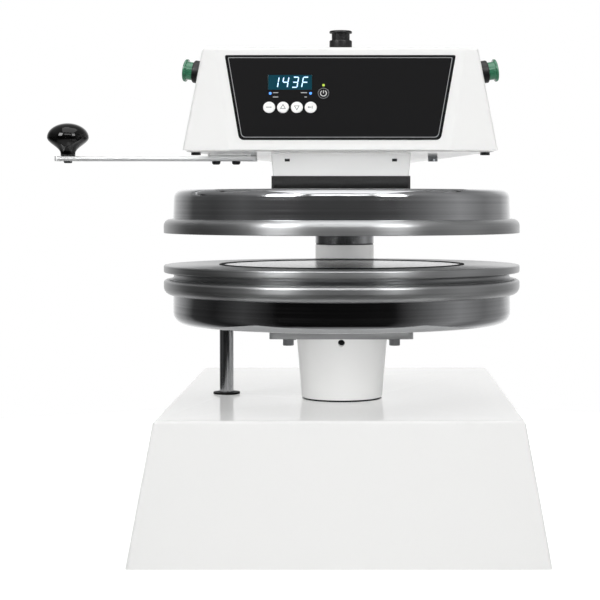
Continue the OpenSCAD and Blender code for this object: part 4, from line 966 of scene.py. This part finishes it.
class DOUGHPRESS_OT_stage(PressOperator, bpy.types.Operator):
    """Set up the floor, room, softboxes and camera"""
    bl_idname = "dough_press.stage"
    bl_label = "Stage"

    def execute(self, context):
        self.floor(context)
        self.room(context)
        self.softboxes(context)
        self.camera(context)
        context.scene.view_settings.view_transform = "Standard"
        return {"FINISHED"}

    def floor(self, context):
        """White round floor that keeps a faint shadow of the base."""
        mesh = bpy.data.meshes.new("studio_floor")
        form = bmesh.new()
        bmesh.ops.create_circle(form, cap_ends=True, segments=FLOOR_SIDES, radius=FLOOR_RADIUS)
        form.to_mesh(mesh)
        form.free()
        paper = finish("white_studio_paper", linear("#d8d8d8"), Roughness=0.9, Specular_IOR_Level=0.0,
                       Emission_Color=(1, 1, 1, 1))
        tree = paper.node_tree
        rays = add_node(tree, "ShaderNodeLightPath")
        place = add_node(tree, "ShaderNodeTexCoord")
        reach = add_node(tree, "ShaderNodeVectorMath", {"operation": "LENGTH"},
                         {0: place.outputs["Object"]})
        spread = add_node(tree, "ShaderNodeMapRange", None,
                          {"Value": reach.outputs["Value"], "From Min": FLOOR_SHADE[0],
                           "From Max": FLOOR_SHADE[1], "To Min": FLOOR_GLOW, "To Max": 1.0})
        glow = add_node(tree, "ShaderNodeMath", {"operation": "MULTIPLY"},
                        {0: rays.outputs["Is Camera Ray"], 1: spread.outputs["Result"]})
        tree.links.new(glow.outputs[0], tree.nodes["Principled BSDF"].inputs["Emission Strength"])
        mesh.materials.append(paper)
        floor = bpy.data.objects.new("studio_floor", mesh)
        floor.visible_glossy = False
        context.scene.collection.objects.link(floor)

    def room(self, context):
        """White to the camera, a dark room with a white back to the metal, soft fill to the rest."""
        world = bpy.data.worlds.new("studio_room")
        world.use_nodes = True
        context.scene.world = world
        tree = world.node_tree
        tree.nodes.clear()
        rays = add_node(tree, "ShaderNodeLightPath")
        heading = add_node(tree, "ShaderNodeTexCoord")
        parts = add_node(tree, "ShaderNodeSeparateXYZ", None, {"Vector": heading.outputs["Generated"]})
        front = add_node(tree, "ShaderNodeMath", {"operation": "MULTIPLY"},
                         {0: parts.outputs["Y"], 1: -1.0})
        compass = add_node(tree, "ShaderNodeMath", {"operation": "ARCTAN2"},
                           {0: parts.outputs["X"], 1: front.outputs[0]})
        turn = add_node(tree, "ShaderNodeMapRange", None,
                        {"Value": compass.outputs[0], "From Min": -math.pi, "From Max": math.pi})
        walls = add_node(tree, "ShaderNodeValToRGB", None, {"Fac": turn.outputs["Result"]})
        ramp = walls.color_ramp
        while len(ramp.elements) < len(ROOM):
            ramp.elements.new(0.5)
        for element, (place, light) in zip(ramp.elements, ROOM):
            element.position = place
            element.color = (light, light, light, 1)
        rise = add_node(tree, "ShaderNodeMapRange", None,
                        {"Value": parts.outputs["Z"], "From Min": ROOM_RISE_SPAN[0],
                         "From Max": ROOM_RISE_SPAN[1], "To Min": 0.0, "To Max": ROOM_RISE})
        upper = add_node(tree, "ShaderNodeMath", {"operation": "ADD"},
                         {0: walls.outputs["Color"], 1: rise.outputs["Result"]})
        ground = add_node(tree, "ShaderNodeMapRange", None,
                          {"Value": parts.outputs["Z"], "From Min": ROOM_FLOOR_SPAN[0],
                           "From Max": ROOM_FLOOR_SPAN[1], "To Min": 0.0, "To Max": ROOM_FLOOR})
        around = add_node(tree, "ShaderNodeMath", {"operation": "MAXIMUM"},
                          {0: upper.outputs[0], 1: ground.outputs["Result"]})
        ceiling = add_node(tree, "ShaderNodeMapRange", {"interpolation_type": "SMOOTHSTEP"},
                           {"Value": parts.outputs["Z"], "From Min": CEILING_SPAN[0],
                            "From Max": CEILING_SPAN[1]})
        seen = add_node(tree, "ShaderNodeMix", {"data_type": "RGBA"},
                        {"Factor": ceiling.outputs["Result"], "A": around.outputs[0],
                         "B": (CEILING_LIGHT, CEILING_LIGHT, CEILING_LIGHT, 1)})
        mirror = add_node(tree, "ShaderNodeMath", {"operation": "MAXIMUM"},
                          {0: rays.outputs["Is Glossy Ray"], 1: rays.outputs["Is Transmission Ray"]})
        fill = add_node(tree, "ShaderNodeMapRange", None,
                        {"Value": parts.outputs["Y"], "From Min": FILL_SPAN[0], "From Max": FILL_SPAN[1],
                         "To Min": FILL_FRONT, "To Max": FILL_BACK})
        metal = add_node(tree, "ShaderNodeMix", {"data_type": "RGBA"},
                         {"Factor": mirror.outputs[0], "A": fill.outputs["Result"],
                          "B": seen.outputs["Result"]})
        shown = add_node(tree, "ShaderNodeMix", {"data_type": "RGBA"},
                         {"Factor": rays.outputs["Is Camera Ray"], "A": metal.outputs["Result"],
                          "B": (1, 1, 1, 1)})
        sky = add_node(tree, "ShaderNodeBackground", None, {"Color": shown.outputs["Result"]})
        add_node(tree, "ShaderNodeOutputWorld", None, {"Surface": sky.outputs["Background"]})

    def softboxes(self, context):
        """Large soft lamps: some give highlights alone, others light alone, one without shadows."""
        for name, place, width, height, power, beam, lights in SOFTBOXES:
            lamp = bpy.data.lights.new(name, "AREA")
            lamp.shape = "RECTANGLE"
            lamp.size = width
            lamp.size_y = height
            lamp.energy = power
            lamp.spread = math.radians(beam)
            holder = bpy.data.objects.new(name, lamp)
            holder.location = place
            holder.visible_glossy = lights == "gloss"
            holder.visible_diffuse = lights != "gloss"
            lamp.use_shadow = lights != "shade"
            holder.rotation_euler = (LOOK_AT - Vector(place)).to_track_quat("-Z", "Y").to_euler()
            context.scene.collection.objects.link(holder)

    def camera(self, context):
        """Camera at the photograph's place."""
        data = bpy.data.cameras.new("photo_camera")
        data.lens = CAMERA_LENS
        data.sensor_width = SENSOR_WIDTH
        data.shift_x, data.shift_y = CAMERA_SHIFT
        data.clip_end = CLIP_END
        camera = bpy.data.objects.new("photo_camera", data)
        camera.location = CAMERA_PLACE
        camera.rotation_euler = (CAMERA_PITCH, 0, 0)
        context.scene.collection.objects.link(camera)
        context.scene.camera = camera


class DOUGHPRESS_PT_sidebar(bpy.types.Panel):
    """Lists the groups of pieces and their settings"""
    bl_idname = "DOUGHPRESS_PT_sidebar"
    bl_label = "Dough press"
    bl_space_type = "VIEW_3D"
    bl_region_type = "UI"
    bl_category = "Dough press"

    def draw(self, context):
        layout = self.layout
        for group in (context.scene.dough_press_colours, context.scene.dough_press_sizes):
            box = layout.box()
            for name in group.__annotations__:
                box.prop(group, name)
        for operator in STEPS:
            layout.operator(operator.bl_idname)


STEPS = (
    DOUGHPRESS_OT_stage, DOUGHPRESS_OT_base, DOUGHPRESS_OT_column, DOUGHPRESS_OT_lift,
    DOUGHPRESS_OT_platens, DOUGHPRESS_OT_head, DOUGHPRESS_OT_panel, DOUGHPRESS_OT_buttons,
    DOUGHPRESS_OT_handle,
)
CLASSES = (DoughPressColours, DoughPressSizes) + STEPS + (DOUGHPRESS_PT_sidebar,)


def register():
    """Registers the classes and hangs the settings on the scene."""
    for item in CLASSES:
        bpy.utils.register_class(item)
    bpy.types.Scene.dough_press_colours = PointerProperty(type=DoughPressColours)
    bpy.types.Scene.dough_press_sizes = PointerProperty(type=DoughPressSizes)


def unregister():
    """Takes the settings and the classes away again."""
    del bpy.types.Scene.dough_press_sizes
    del bpy.types.Scene.dough_press_colours
    for item in reversed(CLASSES):
        bpy.utils.unregister_class(item)


def main():
    """Runs every step."""
    register()
    bpy.ops.dough_press.stage()
    bpy.ops.dough_press.base()
    bpy.ops.dough_press.column()
    bpy.ops.dough_press.lift()
    bpy.ops.dough_press.platens()
    bpy.ops.dough_press.head()
    bpy.ops.dough_press.panel()
    bpy.ops.dough_press.buttons()
    bpy.ops.dough_press.handle()


if __name__ == "__main__":
    main()
